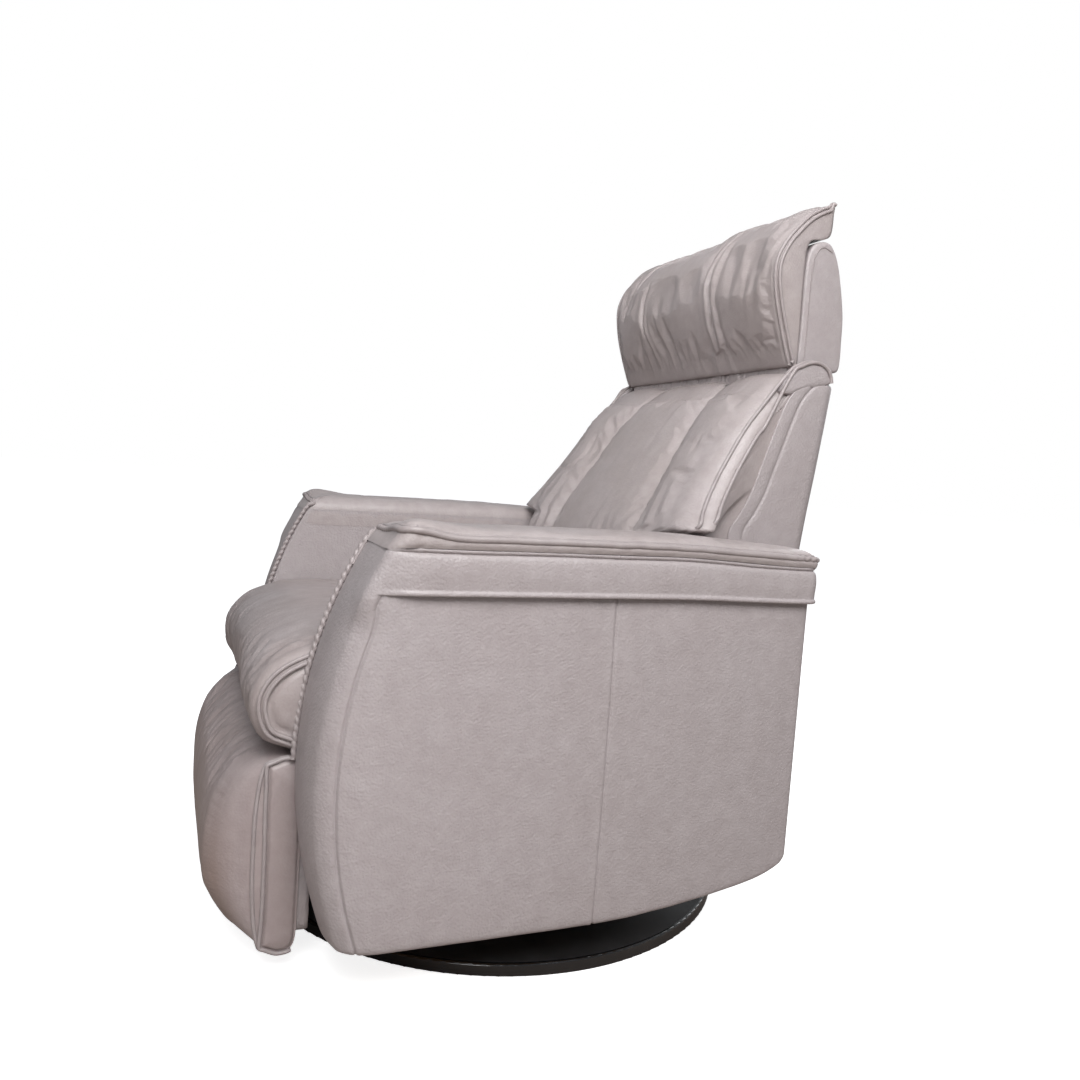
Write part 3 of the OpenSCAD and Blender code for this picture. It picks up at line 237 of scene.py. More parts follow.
def leather(name, colour, dark, warm, rough, grain, streak=None, low=None):
    """Leather with uneven colour, pebbled grain and fine creases. streak stretches darker lines over it, and
    low is the colour of painted shade on the footrest's lower front, between its piping, which faces away
    from the light."""
    m, n, l, shader = new_material(name)
    colour, dark, warm = srgb(*colour), srgb(*dark), srgb(*warm)
    coord = n.new("ShaderNodeTexCoord").outputs["Object"]
    broad = add_range(n, l, add_noise(n, l, coord, 7.0, 4.0, 0.6), 0.0, 0.55)
    fine = add_range(n, l, add_noise(n, l, coord, 55.0, 6.0, 0.65), 0.0, 0.5)
    tone = add_mix(n, l, broad, colour, warm)
    tone = add_mix(n, l, fine, tone, dark)
    if streak:
        lines = add_range(n, l, add_noise(n, l, coord, 1.0, 3.0, 0.6, streak), 0.0, 0.6, 0.45, 0.75)
        tone = add_mix(n, l, lines, tone, dark)
    # Painted shade: below 0.24 m and inside the piping, the footrest's front is darkened towards the low
    # colour
    if low:
        height = n.new("ShaderNodeSeparateXYZ")
        l.new(coord, height.inputs[0])
        across = n.new("ShaderNodeMath")
        across.operation = "ABSOLUTE"
        l.new(height.outputs["X"], across.inputs[0])
        both = n.new("ShaderNodeMath")
        both.operation = "MULTIPLY"
        l.new(add_range(n, l, height.outputs["Z"], 0.0, 1.0, 0.24, 0.12), both.inputs[0])
        l.new(add_range(n, l, across.outputs[0], 1.0, 0.0, 0.25, 0.272), both.inputs[1])
        tone = add_mix(n, l, both.outputs[0], tone, srgb(*low))
    l.new(tone, shader.inputs["Base Color"])
    wear = add_noise(n, l, coord, 24.0, 3.0)
    l.new(add_range(n, l, wear, rough - 0.06, rough + 0.07), shader.inputs["Roughness"])
    fill(shader, Specular_IOR_Level=0.5, Coat_Weight=0.1, Coat_Roughness=0.3)
    pebble = fill(n.new("ShaderNodeTexVoronoi"), Scale=330.0)
    pebble.feature = "SMOOTH_F1"
    l.new(coord, pebble.inputs["Vector"])
    first = fill(n.new("ShaderNodeBump"), Strength=grain, Distance=0.0007)
    l.new(pebble.outputs["Distance"], first.inputs["Height"])
    second = fill(n.new("ShaderNodeBump"), Strength=grain * 0.8, Distance=0.0012)
    l.new(add_noise(n, l, coord, 120.0, 5.0, 0.7), second.inputs["Height"])
    l.new(first.outputs["Normal"], second.inputs["Normal"])
    l.new(second.outputs["Normal"], shader.inputs["Normal"])
    return m


def plain(name, colour, other, rough, metal=0.0, scale=60.0, bump=0.15, coat=0.0, stretch=None):
    """A metal, paint, plastic, wood or cloth finish whose colour, roughness and relief share one noise."""
    m, n, l, shader = new_material(name)
    coord = n.new("ShaderNodeTexCoord").outputs["Object"]
    value = add_noise(n, l, coord, scale, 5.0, 0.6, stretch)
    tone = add_mix(n, l, add_range(n, l, value, 0.0, 1.0), srgb(*colour), srgb(*other))
    l.new(tone, shader.inputs["Base Color"])
    l.new(add_range(n, l, value, rough - 0.05, rough + 0.08), shader.inputs["Roughness"])
    fill(shader, Metallic=metal, Coat_Weight=coat)
    bumps = fill(n.new("ShaderNodeBump"), Strength=bump, Distance=0.0004)
    l.new(value, bumps.inputs["Height"])
    l.new(bumps.outputs["Normal"], shader.inputs["Normal"])
    return m


HIDE = leather("cushion_hide", (169, 160, 160), (143, 132, 131), (158, 147, 143), 0.4, 0.5)
STREAKS = (42, 4, 4)
HIDE_STREAK = leather("streaked_hide", (166, 157, 157), (134, 122, 121), (154, 141, 137), 0.4, 0.4, STREAKS)
# The footrest's leather; its last colour is painted shade on the lower front, between the piping
HIDE_REST = leather("footrest_hide", (166, 154, 154), (138, 125, 124), (156, 141, 136), 0.42, 0.4, STREAKS,
                    (147, 129, 123))
PANEL = leather("panel_hide", (168, 160, 161), (148, 139, 139), (159, 149, 149), 0.45, 0.8)
TRIM = leather("trim_hide", (162, 153, 153), (134, 124, 124), (151, 140, 138), 0.42, 0.3)
CHROME = plain("rod_chrome", (196, 198, 201), (170, 172, 176), 0.14, 1.0, 90, 0.03)

# The finish of each material slot
FINISH = {
    "cushion_leather": HIDE, "panel_leather": PANEL, "ball_steel": CHROME, "rod_chrome": CHROME,
    "lining_cloth": plain("lining_weave", (52, 48, 47), (38, 35, 34), 0.9, scale=900, bump=0.5),
    "disc_paint": plain("disc_coat", (22, 22, 23), (44, 44, 46), 0.62, scale=26, bump=0.1),
    "edge_trim": plain("rim_coat", (10, 10, 11), (20, 20, 22), 0.2, scale=40, bump=0.05, coat=0.6),
    "pad_rubber": plain("pad_rubber", (20, 20, 20), (30, 30, 30), 0.85, scale=200),
    "race_steel": plain("bearing_steel", (150, 152, 155), (120, 121, 124), 0.35, 1.0, 140, 0.1),
    "frame_paint": plain("frame_coat", (26, 27, 29), (36, 37, 40), 0.45, 0.0, 500, 0.25),
    "link_steel": plain("link_steel", (86, 88, 92), (64, 66, 70), 0.4, 0.9, 220, 0.12),
    "frame_wood": plain("frame_ply", (198, 164, 118), (160, 122, 78), 0.62, 0.0, 8, 0.2, 0.0, (1, 6, 14)),
    "black_plastic": plain("black_moulding", (24, 24, 25), (33, 33, 34), 0.5, scale=700, bump=0.3),
    "gloss_black": plain("gloss_moulding", (12, 12, 13), (20, 20, 21), 0.18, scale=60, bump=0.03, coat=0.5),
    "button_steel": plain("button_steel", (182, 184, 187), (150, 152, 155), 0.28, 1.0, 300, 0.06,
                          stretch=(1, 8, 1)),
}
for part in frame["record"]["subparts"]:
    finishes = frame["nodes"][part["node"]].data.materials
    finishes.clear()
    finishes.append(FINISH[part["material_slot"]])


# Arms: the front face is bowed, and the underside rises to the rear
ARM_IN, ARM_OUT, PANEL_TOP = 290.0, 420.0, 567
BOW_Y, BOW_R, BOW_Z = 203.0, 575.0, 280.0
UNDER = smooth([(-400, 85), (-200, 85), (-4, 85), (90, 92), (176, 105), (243, 119), (280, 133), (297, 147)],
               90)


def front_y(z):
    """Where the front of an arm is at a height."""
    return BOW_Y - np.sqrt(BOW_R ** 2 - (arr(z) - BOW_Z) ** 2)


def under_z(y):
    return np.interp(y, UNDER[:, 0], UNDER[:, 1])


def arc(cx, cy, r, a0, a1, n):
    """n points of a circle between two angles in degrees."""
    a = np.radians(np.linspace(a0, a1, n))
    return [(cx + r * math.cos(t), cy + r * math.sin(t)) for t in a]


def arm_loop():
    """Plan of an arm, counter-clockwise, as (x, distance behind the front, place along Y or none)."""
    inner = [(ARM_IN, None, y) for y in (286, 230, 170, 110, 50, -10, -70, -130, -190, -250)]
    inner += [(ARM_IN, v, None) for v in (62, 35, 18, 10)]
    inner += [(x, v, None) for x, v in arc(ARM_IN + 6, 6, 6, 180, 270, 4)]
    front = [(x, 0.0, None) for x in (302, 314, 328, 344, 360, 376, 390, 400)]
    corner = [(x, v, None) for x, v in arc(ARM_OUT - 14, 14, 14, 270, 360, 8)]
    outer = [(ARM_OUT, v, None) for v in (16, 17.5, 19, 20.5, 22, 24, 28, 36, 50, 70)]
    by_seam = [-9, -7, -5.5, -4, -2.5, -1, 1, 4]
    outer += [(ARM_OUT, None, y) for y in [*range(-256, -12, 12), *by_seam, *range(12, 288, 12)]]
    rear = [(x, None, y) for x, y in arc(ARM_OUT - 10, 286, 10, 0, 90, 5)]
    rear += [(x, None, 296) for x in (398, 375, 350, 325, 304)]
    rear += [(x, None, y) for x, y in arc(ARM_IN + 10, 286, 10, 90, 180, 4)][:-1]
    return inner + front + corner + outer + rear


LOOP = arm_loop()


def behind_front(f, v):
    """Place along Y of a column v behind the front f. Columns past 20 close up where the arm is short."""
    return f + min(v, 20) + max(v - 20, 0) * min(1.0, (-278 - f) / 50 if f < -285 else 0.14)


def loop_at(z):
    """The arm's plan at a height, one point for each column."""
    f = float(front_y(z))
    return np.array([(x, behind_front(f, v) if v is not None else y) for x, v, y in LOOP])


def arm_piece(name, points, faces, material, side, level=0):
    """A piece on an arm, mirrored for the right one."""
    if side < 0:
        points = arr(points) * [-1, 1, 1]
    return piece(name, points, faces, material, "chair_frame", flip=side < 0, level=level)


# Short creases near the top of an arm's outer side: place, angle and depth
CREASES = ((-306, 505, 0.9, 1.0), (-312, 497, 0.75, 0.8), (-300, 503, 1.1, 0.6))


def arm_cover(side, tag, seed):
    """The leather of an arm below its band, with a soft front corner and a seam down its outer side."""
    x = np.array([c[0] for c in LOOP])
    normals = normals_2d(loop_at(BOW_Z))
    nominal = loop_at(BOW_Z)[:, 1]
    is_outer = (x > ARM_OUT - 1) * 1.0
    is_front = np.array([1.0 if c[1] is not None and c[1] < 16 else 0.0 for c in LOOP])
    edge = np.array([c[1] if c[1] is not None else 900 for c in LOOP])
    to_corner = np.clip((x - 345) / 75, 0, 1)
    round_front = np.where(edge < 15, to_corner ** 2, np.clip(1 - (edge - 14) / 56, 0, 1))
    round_side = np.clip(1 - edge / 60, 0, 1) ** 2 * to_corner
    front_puff = 1.6 * np.sin(math.pi * np.clip((x - ARM_IN) / 130, 0, 1)) * is_front
    rows = []
    levels = [(0.0, 0.0, -12), (0.0, 0.0, -6), (0.0, 1.5, -2.2), (0.0, 5.0, -0.4)]
    levels += [(v, 9.0, 0.0) for v in np.linspace(0, 1, 56)]
    for v, lift, inset in levels:
        z = under_z(nominal) * (1 - v) + PANEL_TOP * v + lift * (1 - v)
        f = front_y(z)
        y = np.array([behind_front(f[i], c[1]) if c[1] is not None else c[2] for i, c in enumerate(LOOP)])
        z = (under_z(y) + lift) * (1 - v) + PANEL_TOP * v
        tall = np.clip((z - 90) / 420, 0, 1)
        puff = 3.2 * np.sin(math.pi * tall) ** 0.6 * is_outer * step(-370, -290, y) * (1 - step(230, 296, y))
        puff = puff + 0.7 * noise(y / 80, z / 95, seed) * is_outer
        puff = puff + 0.35 * noise(y / 27, z / 31, seed + 1) * is_outer
        seam = -2.4 * bell(y, -4, 1.7) + 0.9 * bell(y, -8, 3.0)
        welted = is_outer * (1 - step(506, 517, z))
        seam = seam * is_outer - 3.0 * bell(edge, 19, 1.7) * welted + 0.8 * bell(edge, 24, 3) * welted
        hide = -9.0 * step(520, 530, z) * is_outer * step(-292, -270, y)
        crease = 0.0
        for cy, cz, angle, depth in CREASES:
            along = (y - cy) * math.cos(angle) + (z - cz) * math.sin(angle)
            across = -(y - cy) * math.sin(angle) + (z - cz) * math.cos(angle)
            crease = crease - depth * bell(across, 0, 2.4) * bell(along, 0, 15)
        dimple = -1.6 * bell(np.hypot(y + 158, z - 489), 0, 7)
        d = inset + puff + seam + hide + front_puff + (crease + dimple) * is_outer
        soft = 12 * (1 - step(465, 515, z))
        rows.append(np.stack([x + normals[:, 0] * d - soft * round_side,
                              y + normals[:, 1] * d + soft * round_front, z], 1))
    grid = arr(rows)
    count = len(LOOP)
    centre = grid[0].mean(0)
    points = np.concatenate([grid.reshape(-1, 3), [centre]])
    faces = grid_faces(len(levels), count, False, True)
    faces += [[len(points) - 1, (i + 1) % count, i] for i in range(count)]
    obj = arm_piece("arm_cover_" + tag, points, faces, PANEL, side)
    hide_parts("arm_outer_panel_" + tag, "arm_inner_panel_" + tag, "arm_front_" + tag)


def droop(y):
    """How far the top of an arm falls towards the rear."""
    return -9.0 * step(60, 300, arr(y))


# Section of the band: how far it stands off the arm, and its height
BAND = [(-3.0, 519.0), (1.5, 516.0), (5.6, 513.6), (9.0, 513.4), (10.6, 515.4), (10.2, 518.2), (8.6, 520.4),
        (8.8, 526.0), (9.4, 538.0), (9.0, 550.0), (7.6, 558.5), (5.0, 562.3), (3.4, 563.0), (5.6, 564.4),
        (6.4, 566.6), (5.2, 568.6), (2.6, 569.6), (-3.0, 570.5)]

# The soft top of an arm in rings: inset and height at its outer side, front, inner side and rear
TOP_RINGS = {
    "outer": ((1.5, 568.5), (0.2, 571), (-0.8, 574), (-0.3, 577), (1.6, 580.5), (4.5, 584.5), (9, 588),
              (17, 591), (28, 592.8), (40, 593.8), (52, 594.2), (62, 594.4), (68.9, 594.5)),
    "front": ((3, 565), (5.5, 569.5), (9, 574), (13, 578), (17.5, 581.5), (23, 585), (31, 588.5), (42, 591),
              (56, 592.6), (72, 593.6), (90, 594.1), (106, 594.4), (116, 594.5)),
    "inner": ((0, 538), (0, 551), (0.4, 560), (1.2, 567.5), (2.8, 574), (5.4, 579.5), (10, 584.5), (18, 589),
              (28, 591.8), (40, 593.3), (52, 594), (62, 594.3), (68.9, 594.5)),
    "rear": ((1.5, 566), (0.4, 569), (-0.6, 572), (-0.2, 575), (1.6, 578), (4.5, 581), (9, 583), (17, 585),
             (28, 587), (40, 589), (60, 591), (80, 593), (100, 594.5)),
}
TOP_COUNT = {"outer": 100, "front": 16, "inner": 100, "rear": 16, "corner": 7}


def top_ring(k):
    """One ring of an arm's soft top, counter-clockwise from the inner side's rear end."""
    (do, zo), (df, zf), (di, zi), (dr, zr) = (rings[k] for rings in TOP_RINGS.values())
    x0, x1, y0, y1 = 289.5 + di, 428 - do, -302 + df, 302 - dr
    points = []

    def corner(cx, cy, r, a0, za, zb):
        a = np.radians(np.linspace(a0, a0 + 90, TOP_COUNT["corner"] + 2))[1:-1]
        t = (np.arange(len(a)) + 1) / (len(a) + 1)
        points.append(np.stack([cx + r * np.cos(a), cy + r * np.sin(a), za * (1 - t) + zb * t], 1))

    def side(a, b, count, z):
        t = np.linspace(0, 1, count)[:, None]
        points.append(np.column_stack([arr(a) * (1 - t) + arr(b) * t, np.full(count, z)]))

    ri, rf, ro = max(9 - di, 0.3), max(26 - 0.5 * df, 0.3), max(13 - do, 0.3)
    side((x0, y1 - ro), (x0, y0 + ri), TOP_COUNT["inner"], zi)
    corner(x0 + ri, y0 + ri, ri, 180, zi, zf)
    side((x0 + ri, y0), (x1 - rf, y0), TOP_COUNT["front"], zf)
    corner(x1 - rf, y0 + rf, rf, 270, zf, zo)
    side((x1, y0 + rf), (x1, y1 - ro), TOP_COUNT["outer"], zo)
    corner(x1 - ro, y1 - ro, ro, 0, zo, zr)
    side((x1 - ro, y1), (x0 + ro, y1), TOP_COUNT["rear"], zr)
    corner(x0 + ro, y1 - ro, ro, 90, zr, zi)
    ring = np.concatenate(points)
    ring[:, 2] += droop(ring[:, 1])
    lifted = step(2, 5, k) * step(330, 400, ring[:, 0])
    ring[:, 2] += 11 * bell(ring[:, 1], -270, 34) * lifted * (1 - 0.75 * step(6, 11, k))
    return ring


TOP = arr([top_ring(k) for k in range(len(TOP_RINGS["outer"]))])
ROLL_FROM = TOP_COUNT["inner"] + 2
ROLL_TO = len(TOP[0]) - TOP_COUNT["corner"]
UP_FRONT = [(289.5, float(front_y(z)) - 2.4, z) for z in (285, 335, 390, 440, 490, 530, 556)]
UP_FRONT += [(290.5, -292.5, 573)]


def arm_roll(side, tag):
    """The rolled edge up an arm's front and round its top, whipped with stitches at the front and rear."""
    path = smooth(np.concatenate([arr(UP_FRONT), TOP[4][ROLL_FROM:ROLL_TO:3]]), 900)
    d = np.r_[0, np.cumsum(np.linalg.norm(np.diff(path, axis=0), axis=1))]
    wave = 0.9 * noise(d / 85, 0.0, 5) + 0.4 * noise(d / 24, 3.0, 6)
    path[:, 2] += wave * step(330, 480, d)
    end = d[-1] - 120

    def stitches(s, a):
        whipped = np.clip(1 - step(360, 420, s) + step(end - 60, end, s), 0, 1)
        return 1.0 - 0.34 * whipped * (0.5 + 0.5 * np.cos(2 * math.pi * s / 10.5 + 1.2 * a)) ** 1.5

    thin = path.copy()
    thin[:, 2] += 4.0
    inward_x = np.sign((ARM_IN + ARM_OUT) / 2 - thin[:, 0])
    inward_y = np.where(np.abs(thin[:, 1]) > 270, -np.sign(thin[:, 1]), 0)
    thin[:, :2] += np.stack([inward_x, inward_y], 1) * 3.6
    start = int(len(path) * 0.22)
    points, faces = joined([tube(path, 4.3, 12, bumps=stitches), tube(thin[start:], 2.1)])
    arm_piece("arm_roll_" + tag, points, faces, TRIM, side)


def arm_band(side, tag, seed):
    """The padded band on the outer side and rear of an arm, with the narrow strip above its seam."""
    section = smooth(BAND, 64)
    cols = [i for i, c in enumerate(LOOP) if c[0] > ARM_IN + 12 and not (c[1] is not None and c[0] < 409)]
    placed_cols = loop_at(540)
    keep = [cols[0]]
    for i in cols[1:]:
        if np.linalg.norm(placed_cols[i] - placed_cols[keep[-1]]) > 0.8:
            keep.append(i)
    rows = []
    for n_off, z in section:
        base = loop_at(z)
        normals = normals_2d(base)
        fine, fine_n = [], []
        for a, b in zip(keep[:-1], keep[1:]):
            for t in (0, 0.5):
                fine.append(base[a] * (1 - t) + base[b] * t)
                fine_n.append(normals[a] * (1 - t) + normals[b] * t)
        fine, fine_n = arr(fine), arr(fine_n)
        fine_n /= np.maximum(np.linalg.norm(fine_n, axis=1), 1e-6)[:, None]
        y = fine[:, 1]
        fade = step(-324, -252, y)
        high = np.clip((z - 516) / 50, 0, 1)
        seam = -1.4 * bell(y, -221, 2.0) * (z < 562) * (z > 516)
        ripple = 0.5 * noise(y / 60, z / 22, seed) + 0.25 * noise(y / 14, z / 30, seed + 3)
        d = (n_off + seam + ripple * bell(z, 540, 16)) * fade - 0.9 * (1 - fade)
        lower = -4.0 * step(60, 300, y) * (1 - high) + droop(y) * high
        zz = z + lower + 0.8 * noise(y / 95, 1.0, seed + 5) * high
        rows.append(np.stack([fine[:, 0] + fine_n[:, 0] * d, y + fine_n[:, 1] * d, zz], 1))
    faces = grid_faces(len(rows), len(rows[0]))
    obj = arm_piece("arm_band_cover_" + tag, rows, faces, PANEL, side, 1)
    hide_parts("arm_band_" + tag)


def arm_pad(side, tag, seed):
    """The soft top of an arm: the boxing strip round its edge, the rolled inner side and the crown."""
    rows = []
    count = 40
    rings = smooth(TOP.reshape(len(TOP), -1), count).reshape(count, -1, 3)
    for t, ring in zip(np.linspace(0, 1, count), rings):
        x, y = ring[:, 0], ring[:, 1]
        u = (x - ARM_IN) / 138
        crown = step(0.3, 0.5, t)
        ripple = 1.1 * noise(y / 12 + u * 1.8, u * 2.5, seed) * bell(u, 0.78, 0.2)
        ripple = ripple + 1.0 * noise(y / 60, u * 2, seed + 2) + 2.0 * bell(y, -236, 36) * bell(u, 0.8, 0.3)
        pucker = 0.5 * noise(y / 7 + x / 7, t * 9, seed + 4) * bell(t, 0.12, 0.1)
        tucks = bell(y, -262, 1.8) + bell(y - 30 * t, -262, 1.6) * 0.8
        pucker = pucker - 1.6 * tucks * (t < 0.3) * (u > 0.9)
        out = np.stack([np.sign(u - 0.5), np.zeros_like(u)], 1) * (pucker * (np.abs(u - 0.5) > 0.4))[:, None]
        rows.append(np.column_stack([ring[:, :2] + out, ring[:, 2] + ripple * crown]))
    faces = grid_faces(count, len(rows[0]), False, True)
    obj = arm_piece("arm_top_" + tag, rows, faces, HIDE, side, 1)
    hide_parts("arm_pad_" + tag)


for side, tag in ((1, "left"), (-1, "right")):
    arm_cover(side, tag, 11 + side)
    arm_band(side, tag, 21 + side)
    arm_pad(side, tag, 41 + side)
    arm_roll(side, tag)


# Cushions: a side outline carried across the width, rounded at both ends
def placed(shares, y, z, length, height):
    """An outline given as shares of a box whose lowest front corner is at y, z."""
    return [(y + s[0] * length, z + s[1] * height) for s in shares]


def outward(ring):
    """Normals of a closed side outline, pointing away from the cushion whichever way it runs."""
    area = np.sum(ring[:, 0] * np.roll(ring[:, 1], -1) - np.roll(ring[:, 0], -1) * ring[:, 1])
    return normals_2d(ring) * (1 if area > 0 else -1)


def cushion_grid(outline, around, half_w, radius, rows, shape, rounded=None, pull=None):
    """Rows of rings across X, with the outline as one ring and its outward normals. shape(x, s, p, n) gives
    each point's offset along its normal, rounded(p, n) how much of the end rounding it takes, and pull(p)
    moves the points of an end, in full at the very end."""
    ring = resample(catmull(outline, 10, True), around, True)
    n = outward(ring)
    flat = half_w - radius
    turn = np.linspace(0, 1, 9)[1:] * math.radians(84)
    ends = flat + radius * np.sin(turn)
    xs = np.r_[-ends[::-1], np.linspace(-flat, flat, rows), ends]
    drop = np.r_[radius * (1 - np.cos(turn))[::-1], np.zeros(rows), radius * (1 - np.cos(turn))]
    weight = 1.0 if rounded is None else rounded(ring, n)
    grid = np.zeros((len(xs), around, 3))
    s = np.arange(around) / around
    for i, (x, d) in enumerate(zip(xs, drop)):
        off = shape(x, s, ring, n) - d * weight
        grid[i, :, 0] = x
        grid[i, :, 1] = ring[:, 0] + n[:, 0] * off
        grid[i, :, 2] = ring[:, 1] + n[:, 1] * off
        if pull is not None:
            grid[i, :, 1:] += pull(ring) * (d / radius)
    return grid, ring, n


def middle_cap(ring, a, b, bulge, sign, rows=14, dip=0.0):
    """Fills one end of a cushion with rings that close on the line from a to b in its middle."""
    a, b = arr(a), arr(b)
    along = np.clip((ring[:, 1:] - a) @ (b - a) / max((b - a) @ (b - a), 1e-6), 0, 1)
    target = a + along[:, None] * (b - a)
    grid = np.repeat(ring[None], rows, 0)
    for i, t in enumerate(np.linspace(0, 1, rows)):
        out = bulge * math.sin(math.pi / 2 * t) ** 0.6 - dip * bell(t, 0.09, 0.07)
        grid[i, :, 1:] = ring[:, 1:] * (1 - t) + target * t
        grid[i, :, 0] = ring[:, 0] + sign * out
    return grid.reshape(-1, 3), grid_faces(rows, len(ring), False, True)


def end_cap(ring, tip, bulge, sign, rows=10, tuck=1.0):
    """Fills one end of a cushion as a ladder between its two long sides, bulging outward."""
    k = len(ring)
    order = [(tip + i) % k for i in range(k)]
    half = k // 2
    a = ring[order[:half + 1]]
    b = ring[[order[0]] + order[:half - 1:-1]]
    t = np.linspace(0, 1, rows)[:, None, None]
    grid = a[None] * (1 - t) + b[None] * t
    ends = np.sin(math.pi * np.linspace(0, 1, half + 1)) ** 0.4
    t = t[:, :, 0]
    lift = bulge * np.sin(math.pi * t) ** 0.55 * ends[None]
    grid[:, :, 0] = a[None, :, 0] * (1 - t ** tuck) + b[None, :, 0] * t ** tuck + sign * lift
    return grid.reshape(-1, 3), grid_faces(rows, half + 1)


def cushion(name, body, material, node, grid, tip, bulge, tuck=1.0, dip=0.0):
    """A closed cushion. tip is where its end ladders start, or the two ends of a middle line."""
    rows, around = grid.shape[:2]
    parts = [(grid.reshape(-1, 3), grid_faces(rows, around, False, True))]
    for ring, sign in ((grid[0], -1), (grid[-1], 1)):
        if isinstance(tip, tuple):
            parts.append(middle_cap(ring, *tip, bulge, sign, dip=dip))
        else:
            parts.append(end_cap(ring, tip, bulge, sign, tuck=tuck))
    points, faces = joined(parts)
    obj = piece(name, points, faces, material, body, solid=True)
    if node:
        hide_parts(node)
    return obj


def read_points(mesh, what="co"):
    values = np.empty(len(mesh.vertices) * 3)
    mesh.vertices.foreach_get(what, values)
    return values.reshape(-1, 3)


def settle(obj, cap, pinned, pressure=3.0, shrink=-0.035, frames=14):
    """Lets a cushion's cover swell and wrinkle as cloth, by cap at most. pinned(points, normals) says how
    firmly each point is held."""
    mesh = obj.data
    start = read_points(mesh)
    hold = np.clip(pinned(start / MM, read_points(mesh, "normal")), 0, 1)
    group = obj.vertex_groups.new(name="held")
    for i in np.nonzero(hold > 0.01)[0].tolist():
        group.add([i], float(hold[i]), "REPLACE")
    cloth = obj.modifiers.new("cover", "CLOTH")
    cs = cloth.settings
    cs.quality = 5
    cs.mass = 0.4
    cs.tension_stiffness = cs.compression_stiffness = 12
    cs.shear_stiffness = 6
    cs.bending_stiffness = 1.2
    cs.use_pressure = True
    cs.uniform_pressure_force = pressure
    cs.shrink_min = shrink
    cs.vertex_group_mass = "held"
    cs.pin_stiffness = 1.0
    cs.effector_weights.gravity = 0.0
    cloth.collision_settings.use_collision = False
    cloth.point_cache.frame_start, cloth.point_cache.frame_end = 1, frames
    for f in range(1, frames + 1):
        scene.frame_set(f)
    done = obj.evaluated_get(bpy.context.evaluated_depsgraph_get())
    move = read_points(done.to_mesh()) - start
    done.to_mesh_clear()
    obj.modifiers.remove(cloth)
    scene.frame_set(1)
    size = np.linalg.norm(move, axis=1)[:, None]
    move *= np.minimum(1, cap * MM / np.maximum(size, 1e-9))
    mesh.vertices.foreach_set("co", (start + move).ravel())
    mesh.update()


def loops_on(grid, rows, radius, name, body, span=None):
    """Piping near both ends of a cushion. rows give a ring, how far the piping stands off it, and how far it
    moves out along X. span is the part of the ring that it follows."""
    parts = []
    for row, off, shift in rows:
        for ring, sign in ((grid[row], -1), (grid[len(grid) - 1 - row], 1)):
            path = ring.copy()
            path[:, 1:] += outward(ring[:, 1:]) * off
            path[:, 0] += shift * sign
            if span is not None:
                path = path[span]
            parts.append(tube(resample(path, len(path) * 2, span is None), radius, closed=span is None))
    points, faces = joined(parts)
    piece(name, points, faces, TRIM, body)


# Seat cushion
SEAT = placed([(1, 0.24), (1, 0.8), (0.958, 0.985), (0.785, 1), (0.513, 0.985), (0.258, 0.965),
               (0.149, 0.925), (0.051, 0.76), (0.004, 0.5), (0.015, 0.21), (0.065, 0.045), (0.158, 0),
               (0.4, 0), (0.65, 0), (0.895, 0), (0.982, 0.05)], -432, 290.5, 550, 150)


def seat_shape(x, s, p, n):
    """Crown, soft unevenness, cross folds on the nose and the channel under it."""
    q = abs(x) / 289
    top = np.clip(0.86 * n[:, 1] - 0.5 * n[:, 0], 0, 1)
    nose = np.clip(-n[:, 0], 0, 1) * (p[:, 0] < -250)
    crown = 7.0 * (1 - q * q) * top - 2.5 * nose
    streak = 0.9 * noise(x / 9 + 0.4 * noise(s * 9, 1.0, 3), s * 5, 2) + 0.5 * noise(x / 4.2, s * 9, 4)
    streak = streak * (0.25 + nose) * (0.3 + 0.7 * q ** 0.5) * (p[:, 0] < -150)
    soft = 1.6 * noise(x / 80, p[:, 0] / 90, 7) * top
    channel = -1.5 * bell(p[:, 1], 296, 5) * (n[:, 0] < -0.2)
    return crown + streak + soft + channel


def seat_held(p, n):
    x, y, z = np.abs(p[:, 0]), p[:, 1], p[:, 2]
    return np.maximum.reduce([step(-260, -200, y), step(252, 268, x), step(312, 300, z)])


seat_grid = cushion_grid(SEAT, 220, 287, 20, 110, seat_shape)[0]
seat = cushion("seat_pad", "chair_frame", HIDE_STREAK, "seat_cushion", seat_grid,
               ((-360, 366), (60, 366)), 5.0, dip=4.0)
loops_on(seat_grid, [(2, 2.2, 0.0), (0, 2.0, 1.0)], 3.0, "seat_piping", "chair_frame")
settle(seat, 5, seat_held)


# Footrest pad
REST = [(-358.3 - s[0] * 113, 29 + s[1] * 255) for s in (
    (0, 0.94), (0.12, 0.995), (0.42, 0.985), (0.73, 0.9), (0.93, 0.72), (1, 0.51), (0.96, 0.3), (0.76, 0.13),
    (0.47, 0.03), (0.19, 0), (0.02, 0.045), (0, 0.28), (0, 0.6))]


def rest_shape(x, s, p, n):
    """Crown, soft unevenness and fine upright folds on the front."""
    q = abs(x) / 284
    z = p[:, 1]
    face = np.clip(-n[:, 0], 0, 1)
    crown = (6.0 * (1 - q * q) - 3.0) * face
    streak = 0.9 * noise(x / 11 + 0.5 * noise(z / 40, 2.0, 8), z / 80, 9) + 0.4 * noise(x / 4.5, z / 50, 10)
    streak = streak * face * (0.25 + step(120, 250, z))
    soft = 1.5 * noise(x / 90, z / 80, 12) * face
    return crown + streak + soft


def rest_pull(ring):
    """Draws the bowed front back to the piping line, and the long edges in a little."""
    back_by = np.clip(-404 - ring[:, 0], 0, 80) * 1.1
    tuck = -4.0 * np.clip((ring[:, 1] - 157) / 110, -1, 1) * step(-380, -400, ring[:, 0])
    return np.stack([back_by, tuck], 1)


def rest_held(p, n):
    return np.maximum(1 + 1.6 * n[:, 1], step(225, 250, np.abs(p[:, 0])))


